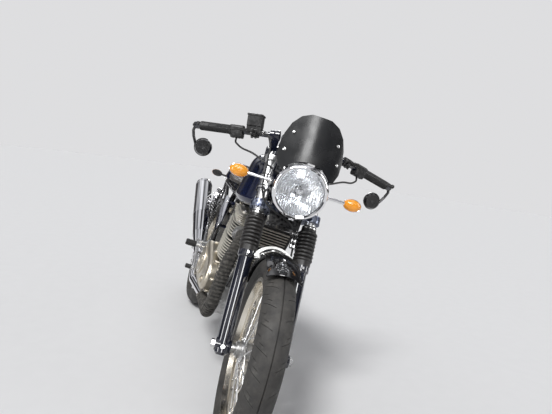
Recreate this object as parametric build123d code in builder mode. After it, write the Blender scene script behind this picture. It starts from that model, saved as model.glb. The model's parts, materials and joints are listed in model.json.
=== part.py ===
from build123d import *
import os
from math import asin, atan2, cos, degrees, radians, sin, sqrt, tan

# A parallel-twin cafe racer motorcycle. It is drawn upright, front to -Y, rider's left to +X,
# +Z up, wheels on the floor at Y = -wheelbase / 2 and + wheelbase / 2. Each piece is then
# steered (where it turns with the fork) and leaned on to the side stand. Millimetres.

# ---- Stance and steering geometry
wheelbase = 1400.0
rake = 24.0
fork_offset = 34.0
parked_steer = -7.4
parked_lean = 13.5

# ---- Wheels
front_radius = 319.0
front_half_width = 50.0
rear_radius = 320.0
rear_half_width = 65.0
tyre_wall = 10.0
bead_radius = 229.0
bead_inner = 18.0
bead_outer = 32.0
flange_height = 11.0
flange_thickness = 4.0
well_radius = 216.0
well_half_width = 12.0
rim_wall = 7.0
spoke_radius = 2.0
spokes_per_side = 18
hub_flange_radius = 42.0
hub_flange_x = 30.0
hub_bore_clearance = 0.3
front_axle_radius = 8.5
rear_axle_radius = 10.0
front_disc_x = 58.0
front_disc_radius = 160.0
rear_disc_x = -80.0
rear_disc_radius = 120.0
disc_hole_radius = 4.0
disc_holes = 20
disc_thickness = 5.0

# ---- Fork, distances up the fork are measured from the axle
fork_half_spacing = 98.0
stanchion_radius = 20.5
lower_radius = 25.0
lower_top = 318.0
gaiter_top = 464.0
gaiter_ribs = 8
lower_yoke_bottom = 478.0
lower_yoke_top = 506.0
upper_yoke_bottom = 664.0
upper_yoke_top = 684.0
stanchion_top = 724.0
stem_radius = 15.0
stem_clearance = 0.3
yoke_gap = 2.0
head_tube_radius = 29.0

# ---- Lamp, bars and screen
lamp_centre = Vector(0, -656.8, 856.6)
lamp_tilt = 7.6
lamp_radius = 92.8
bar_root = Vector(108, -425, 1026)
bar_tip = Vector(391, -331, 980)
bar_radius = 11.0
grip_length = 122.0
mirror_centre = Vector(354, -318, 906)
mirror_radius = 34.0
mirror_stalk = 5.5
indicator_centre = Vector(207, -566, 866)
screen_radius = 220.0
screen_rake = 10.0
screen_thickness = 3.5

# ---- Frame and drive
backbone_radius = 19.0
down_tube_radius = 15.0
rail_radius = 12.0
rail_x = 85.0
swingarm_pivot = Vector(0, 225, 345)
swingarm_inner = 90.0
swingarm_outer = 112.0
bobbin_hole_radius = 3.4
bobbin_hole_depth = 16.0
plate_inner = 113.0
plate_thickness = 6.0
chain_x = 78.0
sprocket_thickness = 6.0
front_sprocket = Vector(0, 150, 345)
front_sprocket_radius = 34.0
rear_sprocket_radius = 88.0
rear_sprocket_teeth = 36
chain_height = 14.0
chain_plate = 3.0
chain_inner_gap = 9.0
roller_height = 6.0

# ---- Engine
bank_tilt = 12.0
bank_base = Vector(0, -80, 470)
case_half_width = 98.0
sump_half_width = 66.0
block_half_width = 112.0
fin_corner = 56.0
fin_count = 9
fin_pitch = 12.0
fin_thickness = 3.0
pipe_radius = 20.0
wrap_radius = 24.0
silencer_radius = 48.0
silencer_start = Vector(146, 190, 385)
silencer_end = Vector(186, 700, 702)

# ---- Side stand
stand_pivot = Vector(138, 190, 238)
stand_foot_x = 262.0
stand_foot_y = 90.0
stand_folded = Vector(38, 240, 10)

front_axle = Vector(0, -wheelbase / 2, front_radius)
rear_axle = Vector(0, wheelbase / 2, rear_radius)
bobbin_hole = Vector(0, rear_axle.Y - 140, 328)
flange_radius = bead_radius + flange_height
fork_up = Vector(0, sin(radians(rake)), cos(radians(rake)))
fork_forward = Vector(0, -cos(radians(rake)), sin(radians(rake)))
steering_foot = front_axle - fork_forward * fork_offset

# Work planes of the fork: across it (x, rearward), its face (x, up) and its side (rearward, up)
fork = Plane(origin=front_axle, x_dir=(1, 0, 0), z_dir=fork_up)
fork_face = Plane(origin=front_axle, x_dir=(1, 0, 0), z_dir=fork_forward)
fork_side = Plane(origin=front_axle, x_dir=-fork_forward, z_dir=(1, 0, 0))


def across(x, point):
    """A plane square to the axles, at x, centred on a point (local x rearward, y up)."""
    point = Vector(point)
    return Plane(origin=(x, point.Y, point.Z), x_dir=(0, 1, 0), z_dir=(1, 0, 0))


def at_fork(x, back, up):
    """A point of the upright machine from its place on the fork."""
    return front_axle + Vector(x, 0, 0) - fork_forward * back + fork_up * up


def turned(point, direction, angle):
    """Rotation about a line in space."""
    return Location(point) * Location((0, 0, 0), direction, angle) * Location(-point)


def lowest(centre, normal, radius, crown):
    """Height of the lowest point of a round-shouldered wheel."""
    return centre.Z - (radius - crown) * sqrt(1 - normal.Z**2) - crown


steered = turned(steering_foot, fork_up, parked_steer)
leaned = Location((0, 0, 0), (0, parked_lean, 0))
front_centre = (leaned * steered * Location(front_axle)).position
front_normal = (leaned * steered * Location(Vector(1, 0, 0))).position
front_normal = front_normal - (leaned * steered * Location(Vector(0, 0, 0))).position
rear_centre = (leaned * Location(rear_axle)).position
rear_normal = (leaned * Location(Vector(1, 0, 0))).position
front_low = lowest(front_centre, front_normal, front_radius, front_half_width)
rear_low = lowest(rear_centre, rear_normal, rear_radius, rear_half_width)
nose_pitch = degrees((front_low - rear_low) / (rear_centre.Y - front_centre.Y))
levelled = Location((0, 0, 0), (nose_pitch, 0, 0)) * leaned
rear_centre = (levelled * Location(rear_axle)).position
rear_low = lowest(rear_centre, rear_normal, rear_radius, rear_half_width)
parked = Location((0, 0, -rear_low)) * levelled

# ---- Wheels


def wheel_section(axle):
    """Plane through the axle, x across the wheel and y up the radius."""
    return Plane(origin=axle, x_dir=(1, 0, 0), z_dir=(0, -1, 0))


def make_tyre(axle, radius, half_width):
    """Half-round tread on straight sidewalls and two beads, hollow inside."""
    crown = radius - half_width
    inner = half_width - tyre_wall
    with BuildPart() as tyre:
        with BuildSketch(wheel_section(axle)):
            with BuildLine():
                Polyline(
                    (-bead_inner, bead_radius),
                    (-bead_outer, bead_radius),
                    (-bead_outer, flange_radius),
                    (-half_width, crown),
                )
                ThreePointArc((-half_width, crown), (0, radius), (half_width, crown))
                Polyline(
                    (half_width, crown),
                    (bead_outer, flange_radius),
                    (bead_outer, bead_radius),
                    (bead_inner, bead_radius),
                    (bead_outer - tyre_wall, flange_radius),
                    (inner, crown),
                )
                ThreePointArc((inner, crown), (0, crown + inner), (-inner, crown))
                Polyline(
                    (-inner, crown),
                    (tyre_wall - bead_outer, flange_radius),
                    (-bead_inner, bead_radius),
                )
            make_face()
        revolve(axis=Axis(axle, (1, 0, 0)))
    return tyre


def make_rim(axle):
    """Alloy rim: two flanges, two bead seats and a drop centre."""
    flange = bead_outer + flange_thickness
    with BuildPart() as rim:
        with BuildSketch(wheel_section(axle)):
            with BuildLine():
                Polyline(
                    (-flange, flange_radius),
                    (-bead_outer, flange_radius),
                    (-bead_outer, bead_radius),
                    (-bead_inner, bead_radius),
                    (-well_half_width, well_radius),
                    (well_half_width, well_radius),
                    (bead_inner, bead_radius),
                    (bead_outer, bead_radius),
                    (bead_outer, flange_radius),
                    (flange, flange_radius),
                    (flange, bead_radius - rim_wall / 2),
                    (bead_inner, bead_radius - rim_wall),
                    (well_half_width, well_radius - rim_wall),
                    (-well_half_width, well_radius - rim_wall),
                    (-bead_inner, bead_radius - rim_wall),
                    (-flange, bead_radius - rim_wall / 2),
                    close=True,
                )
            make_face()
        revolve(axis=Axis(axle, (1, 0, 0)))
    return rim


def make_hub(axle, bore, left_end, right_end, left_seat, right_seat):
    """Hub barrel with two spoke flanges and its wire spokes; the left end carries a disc or
    a sprocket."""
    step = 360 / spokes_per_side
    with BuildPart() as hub:
        with BuildSketch(wheel_section(axle)):
            with BuildLine():
                Polyline(
                    (right_end, bore),
                    (right_end, 22),
                    (right_seat, 22),
                    (right_seat, 28),
                    (-hub_flange_x - 8, 28),
                    (-hub_flange_x - 4, hub_flange_radius),
                    (-hub_flange_x + 2, hub_flange_radius),
                    (-hub_flange_x + 8, 28),
                    (hub_flange_x - 8, 28),
                    (hub_flange_x - 2, hub_flange_radius),
                    (hub_flange_x + 4, hub_flange_radius),
                    (hub_flange_x + 8, 32),
                    (left_seat, 32),
                    (left_seat, 20),
                    (left_end, 20),
                    (left_end, bore),
                    close=True,
                )
            make_face()
        revolve(axis=Axis(axle, (1, 0, 0)))
        for side in (-1, 1):
            for k in range(spokes_per_side):
                lean = 1 if k % 2 else -1
                hub_angle = radians(step * (k + 0.25 * side))
                rim_angle = hub_angle + lean * radians(2.3 * step)
                hub_x = side * (hub_flange_x + 1 + 4.5 * lean)
                rim_x = side * (6 + 2 * lean)
                start = axle + Vector(
                    hub_x,
                    (hub_flange_radius - 5) * sin(hub_angle),
                    (hub_flange_radius - 5) * cos(hub_angle),
                )
                stop = axle + Vector(
                    rim_x,
                    (well_radius - rim_wall + 2) * sin(rim_angle),
                    (well_radius - rim_wall + 2) * cos(rim_angle),
                )
                with BuildSketch(Plane(origin=start, z_dir=stop - start)):
                    Circle(spoke_radius)
                extrude(amount=(stop - start).length)
    return hub


front_tyre = make_tyre(front_axle, front_radius, front_half_width)
rear_tyre = make_tyre(rear_axle, rear_radius, rear_half_width)
front_rim = make_rim(front_axle)
rear_rim = make_rim(rear_axle)
front_hub = make_hub(
    front_axle, front_axle_radius + hub_bore_clearance, 63, -56, front_disc_x, -50
)
rear_hub = make_hub(
    rear_axle,
    rear_axle_radius + hub_bore_clearance,
    83,
    -85,
    chain_x - sprocket_thickness / 2,
    rear_disc_x + disc_thickness,
)

with BuildPart() as front_disc:
    with BuildSketch(across(front_disc_x, front_axle)):
        Circle(front_disc_radius)
        Circle(front_disc_radius - 38, mode=Mode.SUBTRACT)
        with PolarLocations(88, 6):
            SlotOverall(84, 16)
        Circle(50)
        Circle(20, mode=Mode.SUBTRACT)
        for inward, turn in ((10, 0), (27, 180 / disc_holes)):
            with PolarLocations(front_disc_radius - inward, disc_holes, start_angle=turn):
                Circle(disc_hole_radius, mode=Mode.SUBTRACT)
    extrude(amount=disc_thickness)

with BuildPart() as rear_disc:
    with BuildSketch(across(rear_disc_x, rear_axle)):
        Circle(rear_disc_radius)
        Circle(rear_disc_radius - 34, mode=Mode.SUBTRACT)
        with PolarLocations(64, 5):
            SlotOverall(60, 16)
        Circle(42)
        Circle(22, mode=Mode.SUBTRACT)
        with PolarLocations(rear_disc_radius - 16, disc_holes):
            Circle(disc_hole_radius, mode=Mode.SUBTRACT)
    extrude(amount=disc_thickness)

sprocket_root = rear_sprocket_radius - chain_height / 2 - 3
tooth_height = 6.0
with BuildPart() as rear_sprocket:
    with BuildSketch(
        across(chain_x - sprocket_thickness / 2, rear_axle)
    ):
        Circle(sprocket_root)
        with PolarLocations(sprocket_root - 1, rear_sprocket_teeth):
            with BuildLine():
                Polyline((0, -4.2), (tooth_height + 1, -1.4), (tooth_height + 1, 1.4), (0, 4.2), close=True)
            make_face()
        with PolarLocations(56, 5):
            Circle(13, mode=Mode.SUBTRACT)
        Circle(20, mode=Mode.SUBTRACT)
    extrude(amount=sprocket_thickness)

# ---- Fork

with BuildPart() as front_axle_shaft:
    with BuildSketch(across(-130, front_axle)):
        Circle(front_axle_radius)
    extrude(amount=260)
    with BuildSketch(across(-72, front_axle)):
        Circle(16)
    extrude(amount=14)
    with BuildSketch(across(65, front_axle)):
        Circle(16)
    extrude(amount=7)
    for end in (-136, 124):
        with BuildSketch(across(end, front_axle)):
            RegularPolygon(14, 6)
        extrude(amount=12)

with BuildPart() as fork_lowers:
    with BuildSketch(fork_face):
        with BuildLine():
            Polyline(
                (fork_half_spacing, -32),
                (fork_half_spacing + 14, -32),
                (fork_half_spacing + 22, -24),
                (fork_half_spacing + lower_radius, 70),
                (fork_half_spacing + lower_radius, lower_top - 24),
                (fork_half_spacing + lower_radius + 5, lower_top - 20),
                (fork_half_spacing + lower_radius + 5, lower_top),
                (fork_half_spacing, lower_top),
                close=True,
            )
        make_face()
    revolve(axis=Axis(at_fork(fork_half_spacing, 0, 0), fork_up))
    with BuildSketch(across(72, front_axle)):
        Circle(21)
    extrude(amount=52)
    mirror(about=Plane.YZ)
    for up in (72, 150):
        with BuildSketch(fork_side.offset(76)):
            with Locations((38, up)):
                RectangleRounded(64, 24, 8)
        extrude(amount=16)
    with BuildSketch(fork.offset(110)):
        with Locations((fork_half_spacing, 0), (-fork_half_spacing, 0)):
            Circle(stanchion_radius)
    extrude(amount=lower_top - 110 + 1, mode=Mode.SUBTRACT)
    add(front_axle_shaft.part, mode=Mode.SUBTRACT)

with BuildPart() as fork_stanchions:
    with BuildSketch(fork.offset(112)):
        with Locations((fork_half_spacing, 0), (-fork_half_spacing, 0)):
            Circle(stanchion_radius)
    extrude(amount=stanchion_top - 112)
    chamfer(faces().sort_by(Axis(front_axle, fork_up))[-2:].edges(), length=3)

with BuildPart() as fork_gaiters:
    rib = (gaiter_top - 20 - lower_top - 18) / gaiter_ribs
    with BuildSketch(fork_face):
        with BuildLine():
            Polyline(
                (fork_half_spacing + stanchion_radius, lower_top),
                (fork_half_spacing + 30, lower_top),
                (fork_half_spacing + 31, lower_top + 18),
            )
            for k in range(gaiter_ribs):
                low = lower_top + 18 + k * rib
                valley = fork_half_spacing + (31 if k == 0 else 29)
                next_valley = fork_half_spacing + (28 if k == gaiter_ribs - 1 else 29)
                ThreePointArc(
                    (valley, low),
                    (fork_half_spacing + 34.5, low + rib / 2),
                    (next_valley, low + rib),
                )
            Polyline(
                (fork_half_spacing + 28, gaiter_top - 20),
                (fork_half_spacing + 26, gaiter_top),
                (fork_half_spacing + stanchion_radius, gaiter_top),
                (fork_half_spacing + stanchion_radius, lower_top),
            )
        make_face()
    revolve(axis=Axis(at_fork(fork_half_spacing, 0, 0), fork_up))
    mirror(about=Plane.YZ)

with BuildPart() as lower_yoke:
    with BuildSketch(fork.offset(lower_yoke_bottom)):
        with Locations((fork_half_spacing, 0), (-fork_half_spacing, 0)):
            Circle(33)
        with Locations((0, fork_offset)):
            Circle(36)
        with BuildLine():
            Polyline((-98, -24), (98, -24), (98, 20), (30, 60), (-30, 60), (-98, 20), close=True)
        make_face()
        with Locations((fork_half_spacing, 0), (-fork_half_spacing, 0)):
            Circle(stanchion_radius, mode=Mode.SUBTRACT)
    extrude(amount=lower_yoke_top - lower_yoke_bottom)
    with BuildSketch(fork.offset(lower_yoke_top)):
        with Locations((0, fork_offset)):
            Circle(stem_radius)
    extrude(amount=upper_yoke_top + 12 - lower_yoke_top)
    with BuildSketch(fork.offset(upper_yoke_top)):
        with Locations((0, fork_offset)):
            RegularPolygon(20, 6)
    extrude(amount=12)

with BuildPart() as upper_yoke:
    with BuildSketch(fork.offset(upper_yoke_bottom)):
        with Locations((fork_half_spacing, 0), (-fork_half_spacing, 0)):
            Circle(31)
        with Locations((0, fork_offset)):
            Circle(29)
        with BuildLine():
            Polyline((-98, -20), (98, -20), (98, 24), (24, 58), (-24, 58), (-98, 24), close=True)
        make_face()
        with Locations((45, 12), (-45, 12)):
            Circle(15, mode=Mode.SUBTRACT)
        with Locations((fork_half_spacing, 0), (-fork_half_spacing, 0)):
            Circle(stanchion_radius, mode=Mode.SUBTRACT)
        with Locations((0, fork_offset)):
            Circle(stem_radius, mode=Mode.SUBTRACT)
    extrude(amount=upper_yoke_top - upper_yoke_bottom)

# ---- Front mudguard and brace


def guard_plane(axle, forward):
    """Plane through the axle at an angle forward of the wheel's top, x across and y outward."""
    turn = radians(forward)
    return Plane(origin=axle, x_dir=(1, 0, 0), z_dir=(0, -cos(turn), -sin(turn)))


with BuildPart() as front_mudguard:
    with BuildSketch(guard_plane(front_axle, 26)):
        with BuildLine():
            ThreePointArc((-54, 316), (0, 335), (54, 316))
            Line((54, 316), (51.5, 314.5))
            ThreePointArc((51.5, 314.5), (0, 332), (-51.5, 314.5))
            Line((-51.5, 314.5), (-54, 316))
        make_face()
    revolve(axis=Axis(front_axle, (1, 0, 0)), revolution_arc=-88)

with BuildPart() as fork_brace:
    with BuildSketch(fork_face.offset(-11)):
        with BuildLine():
            ThreePointArc((-66, 302), (0, 350), (66, 302))
            Polyline((66, 302), (76, 302), (76, 318), (73, 318))
            ThreePointArc((73, 318), (0, 358), (-73, 318))
            Polyline((-73, 318), (-76, 318), (-76, 302), (-66, 302))
        make_face()
        with Locations((62, 309), (-62, 309)):
            Rectangle(22, 12)
    extrude(amount=22)
    add(fork_lowers.part, mode=Mode.SUBTRACT)
    add(fork_gaiters.part, mode=Mode.SUBTRACT)
    add(front_mudguard.part, mode=Mode.SUBTRACT)

# ---- Lamp and its brackets

lamp_axis = Vector(0, -cos(radians(lamp_tilt)), -sin(radians(lamp_tilt)))
lamp_section = Plane(
    origin=lamp_centre,
    x_dir=(1, 0, 0),
    z_dir=(0, sin(radians(lamp_tilt)), -cos(radians(lamp_tilt))),
)

with BuildPart() as headlamp_shell:
    with BuildSketch(lamp_section):
        with BuildLine():
            Polyline((0, -112), (30, -110))
            ThreePointArc((30, -110), (72, -80), (87, -12))
            Polyline((87, -12), (82, -12))
            ThreePointArc((82, -12), (68, -76), (28, -104))
            Polyline((28, -104), (0, -106), (0, -112))
        make_face()
    revolve(axis=Axis(lamp_centre, lamp_axis))
    with BuildSketch(across(76, lamp_centre - lamp_axis * 45)):
        Circle(11)
    extrude(amount=17)
    with BuildSketch(across(-93, lamp_centre - lamp_axis * 45)):
        Circle(11)
    extrude(amount=17)

with BuildPart() as headlamp_rim:
    with BuildSketch(lamp_section):
        with BuildLine():
            Polyline((80, -12), (lamp_radius - 2, -12), (lamp_radius, -8))
            ThreePointArc((lamp_radius, -8), (90, 2), (84, 6))
            Polyline((84, 6), (80, 4), (80, -12))
        make_face()
    revolve(axis=Axis(lamp_centre, lamp_axis))

with BuildPart() as headlamp_lens:
    with BuildSketch(lamp_section):
        with BuildLine():
            Line((0, 10), (0, 16))
            RadiusArc((0, 16), (80, 0), 208)
            Line((80, 0), (80, -6))
            RadiusArc((80, -6), (0, 10), -208)
        make_face()
    revolve(axis=Axis(lamp_centre, lamp_axis))

lamp_pivot = lamp_centre - lamp_axis * 45
pivot_back = (lamp_pivot - front_axle).dot(fork_forward) * -1
pivot_up = (lamp_pivot - front_axle).dot(fork_up)
with BuildPart() as lamp_ears:
    with BuildSketch(fork_side.offset(93)):
        with BuildLine():
            Polyline(
                (0, 546),
                (0, 606),
                (pivot_back + 20, 588),
                (pivot_back - 14, pivot_up + 24),
                (pivot_back - 16, pivot_up - 14),
                (pivot_back + 10, pivot_up - 16),
                close=True,
            )
        make_face()
    extrude(amount=6)
    for up in (546, 590):
        with BuildSketch(fork.offset(up)):
            with Locations((fork_half_spacing, 0)):
                Circle(27)
        extrude(amount=18)
    mirror(about=Plane.YZ)
    with BuildSketch(fork.offset(500)):
        with Locations((fork_half_spacing, 0), (-fork_half_spacing, 0)):
            Circle(stanchion_radius)
    extrude(amount=130, mode=Mode.SUBTRACT)

# ---- Indicators

with BuildPart() as front_indicator_stalks:
    with BuildSketch(across(99, indicator_centre)):
        Circle(11)
    extrude(amount=8)
    with BuildSketch(across(99, indicator_centre)):
        Circle(5.5)
    extrude(amount=78)
    with BuildSketch(Plane.XZ.offset(-indicator_centre.Y - 2)):
        with Locations((indicator_centre.X, indicator_centre.Z)):
            Ellipse(33, 21)
    extrude(amount=-18)
    fillet(faces().sort_by(Axis.Y)[-1].edges(), 12)
    mirror(about=Plane.YZ)

with BuildPart() as front_indicator_lenses:
    with BuildSketch(Plane.XZ.offset(-indicator_centre.Y - 2)):
        with Locations((indicator_centre.X, indicator_centre.Z)):
            Ellipse(33, 21)
    extrude(amount=18)
    fillet(faces().sort_by(Axis.Y)[0].edges(), 10)
    mirror(about=Plane.YZ)
    add(front_indicator_stalks.part, mode=Mode.SUBTRACT)

# ---- Bars and controls

bar_line = bar_tip - bar_root
bar_length = bar_line.length
bar_out = bar_line.normalized()
bar_high = (Vector(0, 0, 1) - bar_out * bar_out.Z).normalized()
bar = Plane(origin=bar_root, x_dir=bar_high, z_dir=bar_out)
right_bar = Plane(
    origin=(-bar_root.X, bar_root.Y, bar_root.Z),
    x_dir=(-bar_high.X, bar_high.Y, bar_high.Z),
    z_dir=(-bar_out.X, bar_out.Y, bar_out.Z),
)
root_back = (bar_root - front_axle).dot(fork_forward) * -1
root_up = (bar_root - front_axle).dot(fork_up)
clamp_bottom = upper_yoke_top + 2
clamp_top = stanchion_top - 6

with BuildPart() as clip_on_bars:
    with BuildSketch(fork.offset(clamp_bottom)):
        with Locations((fork_half_spacing, 0)):
            Circle(30)
    extrude(amount=clamp_top - clamp_bottom)
    with BuildSketch(fork_side.offset(94)):
        with BuildLine():
            Polyline(
                (0, clamp_bottom),
                (0, clamp_top),
                (root_back + 18, root_up + 6),
                (root_back, root_up + 18),
                (root_back - 18, root_up),
                (-28, clamp_bottom + 8),
                close=True,
            )
        make_face()
    extrude(amount=26)
    with BuildSketch(bar.offset(-14)):
        Circle(19)
    extrude(amount=34)
    with BuildSketch(bar.offset(-13)):
        Circle(bar_radius)
    extrude(amount=bar_length + 8)
    with BuildSketch(bar.offset(bar_length - 8)):
        Circle(14)
    extrude(amount=18)
    with BuildSketch(fork.offset(600)):
        with Locations((fork_half_spacing, 0)):
            Circle(stanchion_radius)
    extrude(amount=stanchion_top - 600, mode=Mode.SUBTRACT)
    mirror(about=Plane.YZ)

with BuildPart() as grips:
    with BuildSketch(bar.offset(bar_length - 8 - grip_length)):
        Circle(16.5)
        Circle(bar_radius, mode=Mode.SUBTRACT)
    extrude(amount=grip_length)
    with BuildSketch(bar.offset(bar_length - 8 - grip_length)):
        Circle(20)
        Circle(bar_radius, mode=Mode.SUBTRACT)
    extrude(amount=5)
    mirror(about=Plane.YZ)

switch_start = bar_length - 8 - grip_length - 46
perch_start = switch_start - 60
with BuildPart() as bar_controls:
    with BuildSketch(bar.offset(switch_start)):
        with Locations((-4, 0)):
            RectangleRounded(48, 38, 12)
        Circle(bar_radius, mode=Mode.SUBTRACT)
    extrude(amount=44)
    with BuildSketch(bar.offset(perch_start)):
        Circle(18)
        with Locations((0, 22)):
            RectangleRounded(20, 40, 6)
        Circle(bar_radius, mode=Mode.SUBTRACT)
    extrude(amount=28)
    with BuildSketch(Plane(origin=bar.origin, x_dir=bar_out, z_dir=-bar_high).offset(-4)):
        with BuildLine():
            Polyline(
                (perch_start + 4, 36),
                (perch_start + 26, 36),
                (perch_start + 64, 54),
                (bar_length - 60, 60),
                (bar_length - 20, 52),
                (bar_length - 18, 59),
                (bar_length - 60, 69),
                (perch_start + 60, 66),
                (perch_start + 10, 62),
                close=True,
            )
        make_face()
    extrude(amount=9)
    mirror(about=Plane.YZ)
    with BuildSketch(right_bar.offset(perch_start - 14)):
        with Locations((38, -22)):
            RectangleRounded(40, 44, 5)
    extrude(amount=54)
    with BuildSketch(right_bar.offset(perch_start - 16)):
        with Locations((60, -22)):
            Rectangle(6, 48)
    extrude(amount=58)
    with BuildSketch(right_bar.offset(perch_start + 2)):
        with Locations((14, -22)):
            Rectangle(20, 16)
    extrude(amount=22)
    with BuildSketch(right_bar.offset(perch_start - 20)):
        with Locations((0, -26)):
            Circle(9)
    extrude(amount=60)

with BuildPart() as mirrors:
    with BuildSketch(Plane(origin=mirror_centre, x_dir=(1, 0, 0), z_dir=(0.1, -1, -0.08))):
        Circle(mirror_radius)
    extrude(amount=12, taper=24)
    with BuildSketch(Plane(origin=mirror_centre, x_dir=(1, 0, 0), z_dir=(-0.1, 1, 0.08))):
        Circle(mirror_radius)
    extrude(amount=4)
    with BuildLine() as stalk:
        FilletPolyline(
            bar_root + bar_out * (bar_length + 12),
            bar_root + bar_out * (bar_length + 20) - bar_high * 20,
            mirror_centre + Vector(46, -3, 30),
            mirror_centre + Vector(30, -3, 2),
            radius=12,
        )
    with BuildSketch(Plane(origin=stalk.line @ 0, z_dir=stalk.line % 0)):
        Circle(mirror_stalk)
    sweep(path=stalk.line)
    with BuildSketch(bar.offset(bar_length + 10)):
        Circle(12)
    extrude(amount=8)
    mirror(about=Plane.YZ)
    add(clip_on_bars.part, mode=Mode.SUBTRACT)

# ---- Instruments and fly screen

dial_plane = Plane(origin=at_fork(0, -62, 742), x_dir=(1, 0, 0), z_dir=(0, 0.62, 0.78))
with BuildPart() as instruments:
    with BuildSketch(dial_plane):
        with Locations((48, 0), (-48, 0)):
            Circle(41)
    extrude(amount=-46, taper=6)
    with BuildSketch(dial_plane):
        with Locations((48, 0), (-48, 0)):
            Circle(43)
            Circle(36, mode=Mode.SUBTRACT)
    extrude(amount=5)
    with BuildSketch(fork.offset(upper_yoke_top)):
        with Locations((30, -4), (-30, -4)):
            Rectangle(10, 18)
    extrude(amount=20)
    with BuildSketch(fork_side.offset(-36)):
        with BuildLine():
            Polyline((-14, 692), (6, 692), (6, 704), (-44, 724), (-62, 712), close=True)
        make_face()
    extrude(amount=72)

screen_up = Vector(0, sin(radians(screen_rake)), cos(radians(screen_rake)))
screen_front = Vector(0, -cos(radians(screen_rake)), sin(radians(screen_rake)))
screen_foot = Vector(0, -662, 950)
screen_face = Plane(origin=screen_foot, x_dir=(1, 0, 0), z_dir=screen_front)
screen_section = Plane(origin=screen_foot, x_dir=(1, 0, 0), z_dir=screen_up)
with BuildPart() as fly_screen:
    with BuildSketch(screen_face.offset(-80)):
        with BuildLine():
            half_outline = [(34, 164), (66, 150), (90, 122), (104, 84), (111, 40), (109, 2), (96, -28), (74, -38)]
            left_outline = [(-x, y) for x, y in reversed(half_outline)]
            FilletPolyline(*half_outline, *left_outline, radius=10, close=True)
        make_face()
        with Locations((0, -93)):
            Circle(100, mode=Mode.SUBTRACT)
    extrude(amount=100)
    with BuildSketch(screen_section.offset(-80)):
        with Locations((0, screen_radius)):
            Circle(screen_radius)
            Circle(screen_radius - screen_thickness, mode=Mode.SUBTRACT)
    extrude(amount=320, mode=Mode.INTERSECT)

with BuildPart() as lamp_brackets:
    add(lamp_ears.part)
    for side in (-1, 1):
        with BuildLine() as strut:
            Line(at_fork(side * 96, -60, 556), (side * 96, -631.5, 969))
        with BuildSketch(Plane(origin=strut.line @ 0, z_dir=strut.line % 0)):
            Circle(5)
        sweep(path=strut.line)
    add(fly_screen.part, mode=Mode.SUBTRACT)

# ---- Front brake caliper

caliper_plane = fork_side.offset(42)
with BuildPart() as front_caliper:
    with BuildSketch(caliper_plane):
        with Locations((93, 111)):
            RectangleRounded(66, 92, 16)
    extrude(amount=42)
    with BuildSketch(across(front_disc_x - 3.5, front_axle)):
        Circle(front_disc_radius + 5)
    extrude(amount=disc_thickness + 7, mode=Mode.SUBTRACT)
    add(fork_lowers.part, mode=Mode.SUBTRACT)

# ---- Cables and hose, held at both ends


def make_cables(rows):
    """Round cables along corner points, with arcs as large as the runs allow; rows are
    corner points and radius."""
    with BuildPart() as cables:
        for points, radius in rows:
            radii = []
            for before, corner, after in zip(points, points[1:], points[2:]):
                shorter = min((corner - before).length, (after - corner).length)
                turn = radians((corner - before).get_angle(after - corner))
                radii.append(0.45 * shorter / tan(turn / 2))
            with BuildLine() as path:
                FilletPolyline(*points, radius=radii)
            with BuildSketch(Plane(origin=path.line @ 0, z_dir=path.line % 0)):
                Circle(radius)
            sweep(path=path.line)
    return cables


def on_bar(side, along, forward, up):
    """A point beside a handlebar: along it from the clamp, forward of it and above it."""
    ahead = bar_high.cross(bar_out)
    ahead = ahead if ahead.Y < 0 else -ahead
    point = bar_root + bar_out * along + ahead * forward + bar_high * up
    return Vector(side * point.X, point.Y, point.Z)


def both_hands(points):
    """The same corner points beside the left and the right handlebar."""
    return [points, [Vector(-point.X, point.Y, point.Z) for point in points]]


switch_middle = switch_start + 22
loom = [
    on_bar(1, switch_middle, 0, -24),
    on_bar(1, switch_middle, 14, -44),
    on_bar(1, switch_middle - 34, 40, -66),
    Vector(172, -478, 938),
    Vector(128, -508, 918),
    Vector(84, -516, 902),
    Vector(46, -520, 890),
    Vector(20, -530, 878),
    Vector(14, -548, 872),
]
control_cables = make_cables([(points, 3.5) for points in both_hands(loom)])
add_shell = headlamp_shell.part
control_cables.part = control_cables.part - add_shell - bar_controls.part

hose = [
    on_bar(-1, perch_start - 18, 26, 0),
    on_bar(-1, perch_start - 44, 34, -4),
    Vector(-124, -494, 984),
    Vector(-122, -520, 944),
    Vector(-118, -530, 900),
    Vector(-114, -530, 856),
    Vector(-106, -532, 812),
    Vector(-74, -540, 776),
    Vector(-30, -545, 760),
    Vector(14, -543, 746),
    Vector(44, -536, 716),
    at_fork(57, 12, 404),
    at_fork(61, 26, 350),
    at_fork(62, 32, 296),
    at_fork(66, 42, 244),
    at_fork(74, 64, 204),
    at_fork(76, 86, 172),
    at_fork(76, 90, 150),
]
brake_hose = make_cables([(hose, 3.5)])
brake_hose.part = brake_hose.part - front_caliper.part - bar_controls.part

# ---- Frame

with BuildPart() as head_tube_barrel:
    with BuildSketch(fork.offset(lower_yoke_top + yoke_gap)):
        with Locations((0, fork_offset)):
            Circle(head_tube_radius)
            Circle(stem_radius + stem_clearance, mode=Mode.SUBTRACT)
    extrude(amount=upper_yoke_bottom - lower_yoke_top - 2 * yoke_gap)

with BuildPart() as head_tube_core:
    with BuildSketch(fork.offset(lower_yoke_top)):
        with Locations((0, fork_offset)):
            Circle(head_tube_radius)
    extrude(amount=upper_yoke_bottom - lower_yoke_top)


def make_tubes(rows, trims=()):
    """Round tubes with filleted bends; each row is corner points, bend radius, tube radius."""
    with BuildPart() as tubes:
        for points, bend, radius in rows:
            with BuildLine() as path:
                if len(points) > 2:
                    FilletPolyline(*points, radius=bend)
                else:
                    Line(*points)
            with BuildSketch(Plane(origin=path.line @ 0, z_dir=path.line % 0)):
                Circle(radius)
            sweep(path=path.line)
        for trim in trims:
            add(trim, mode=Mode.SUBTRACT)
    return tubes


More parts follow.
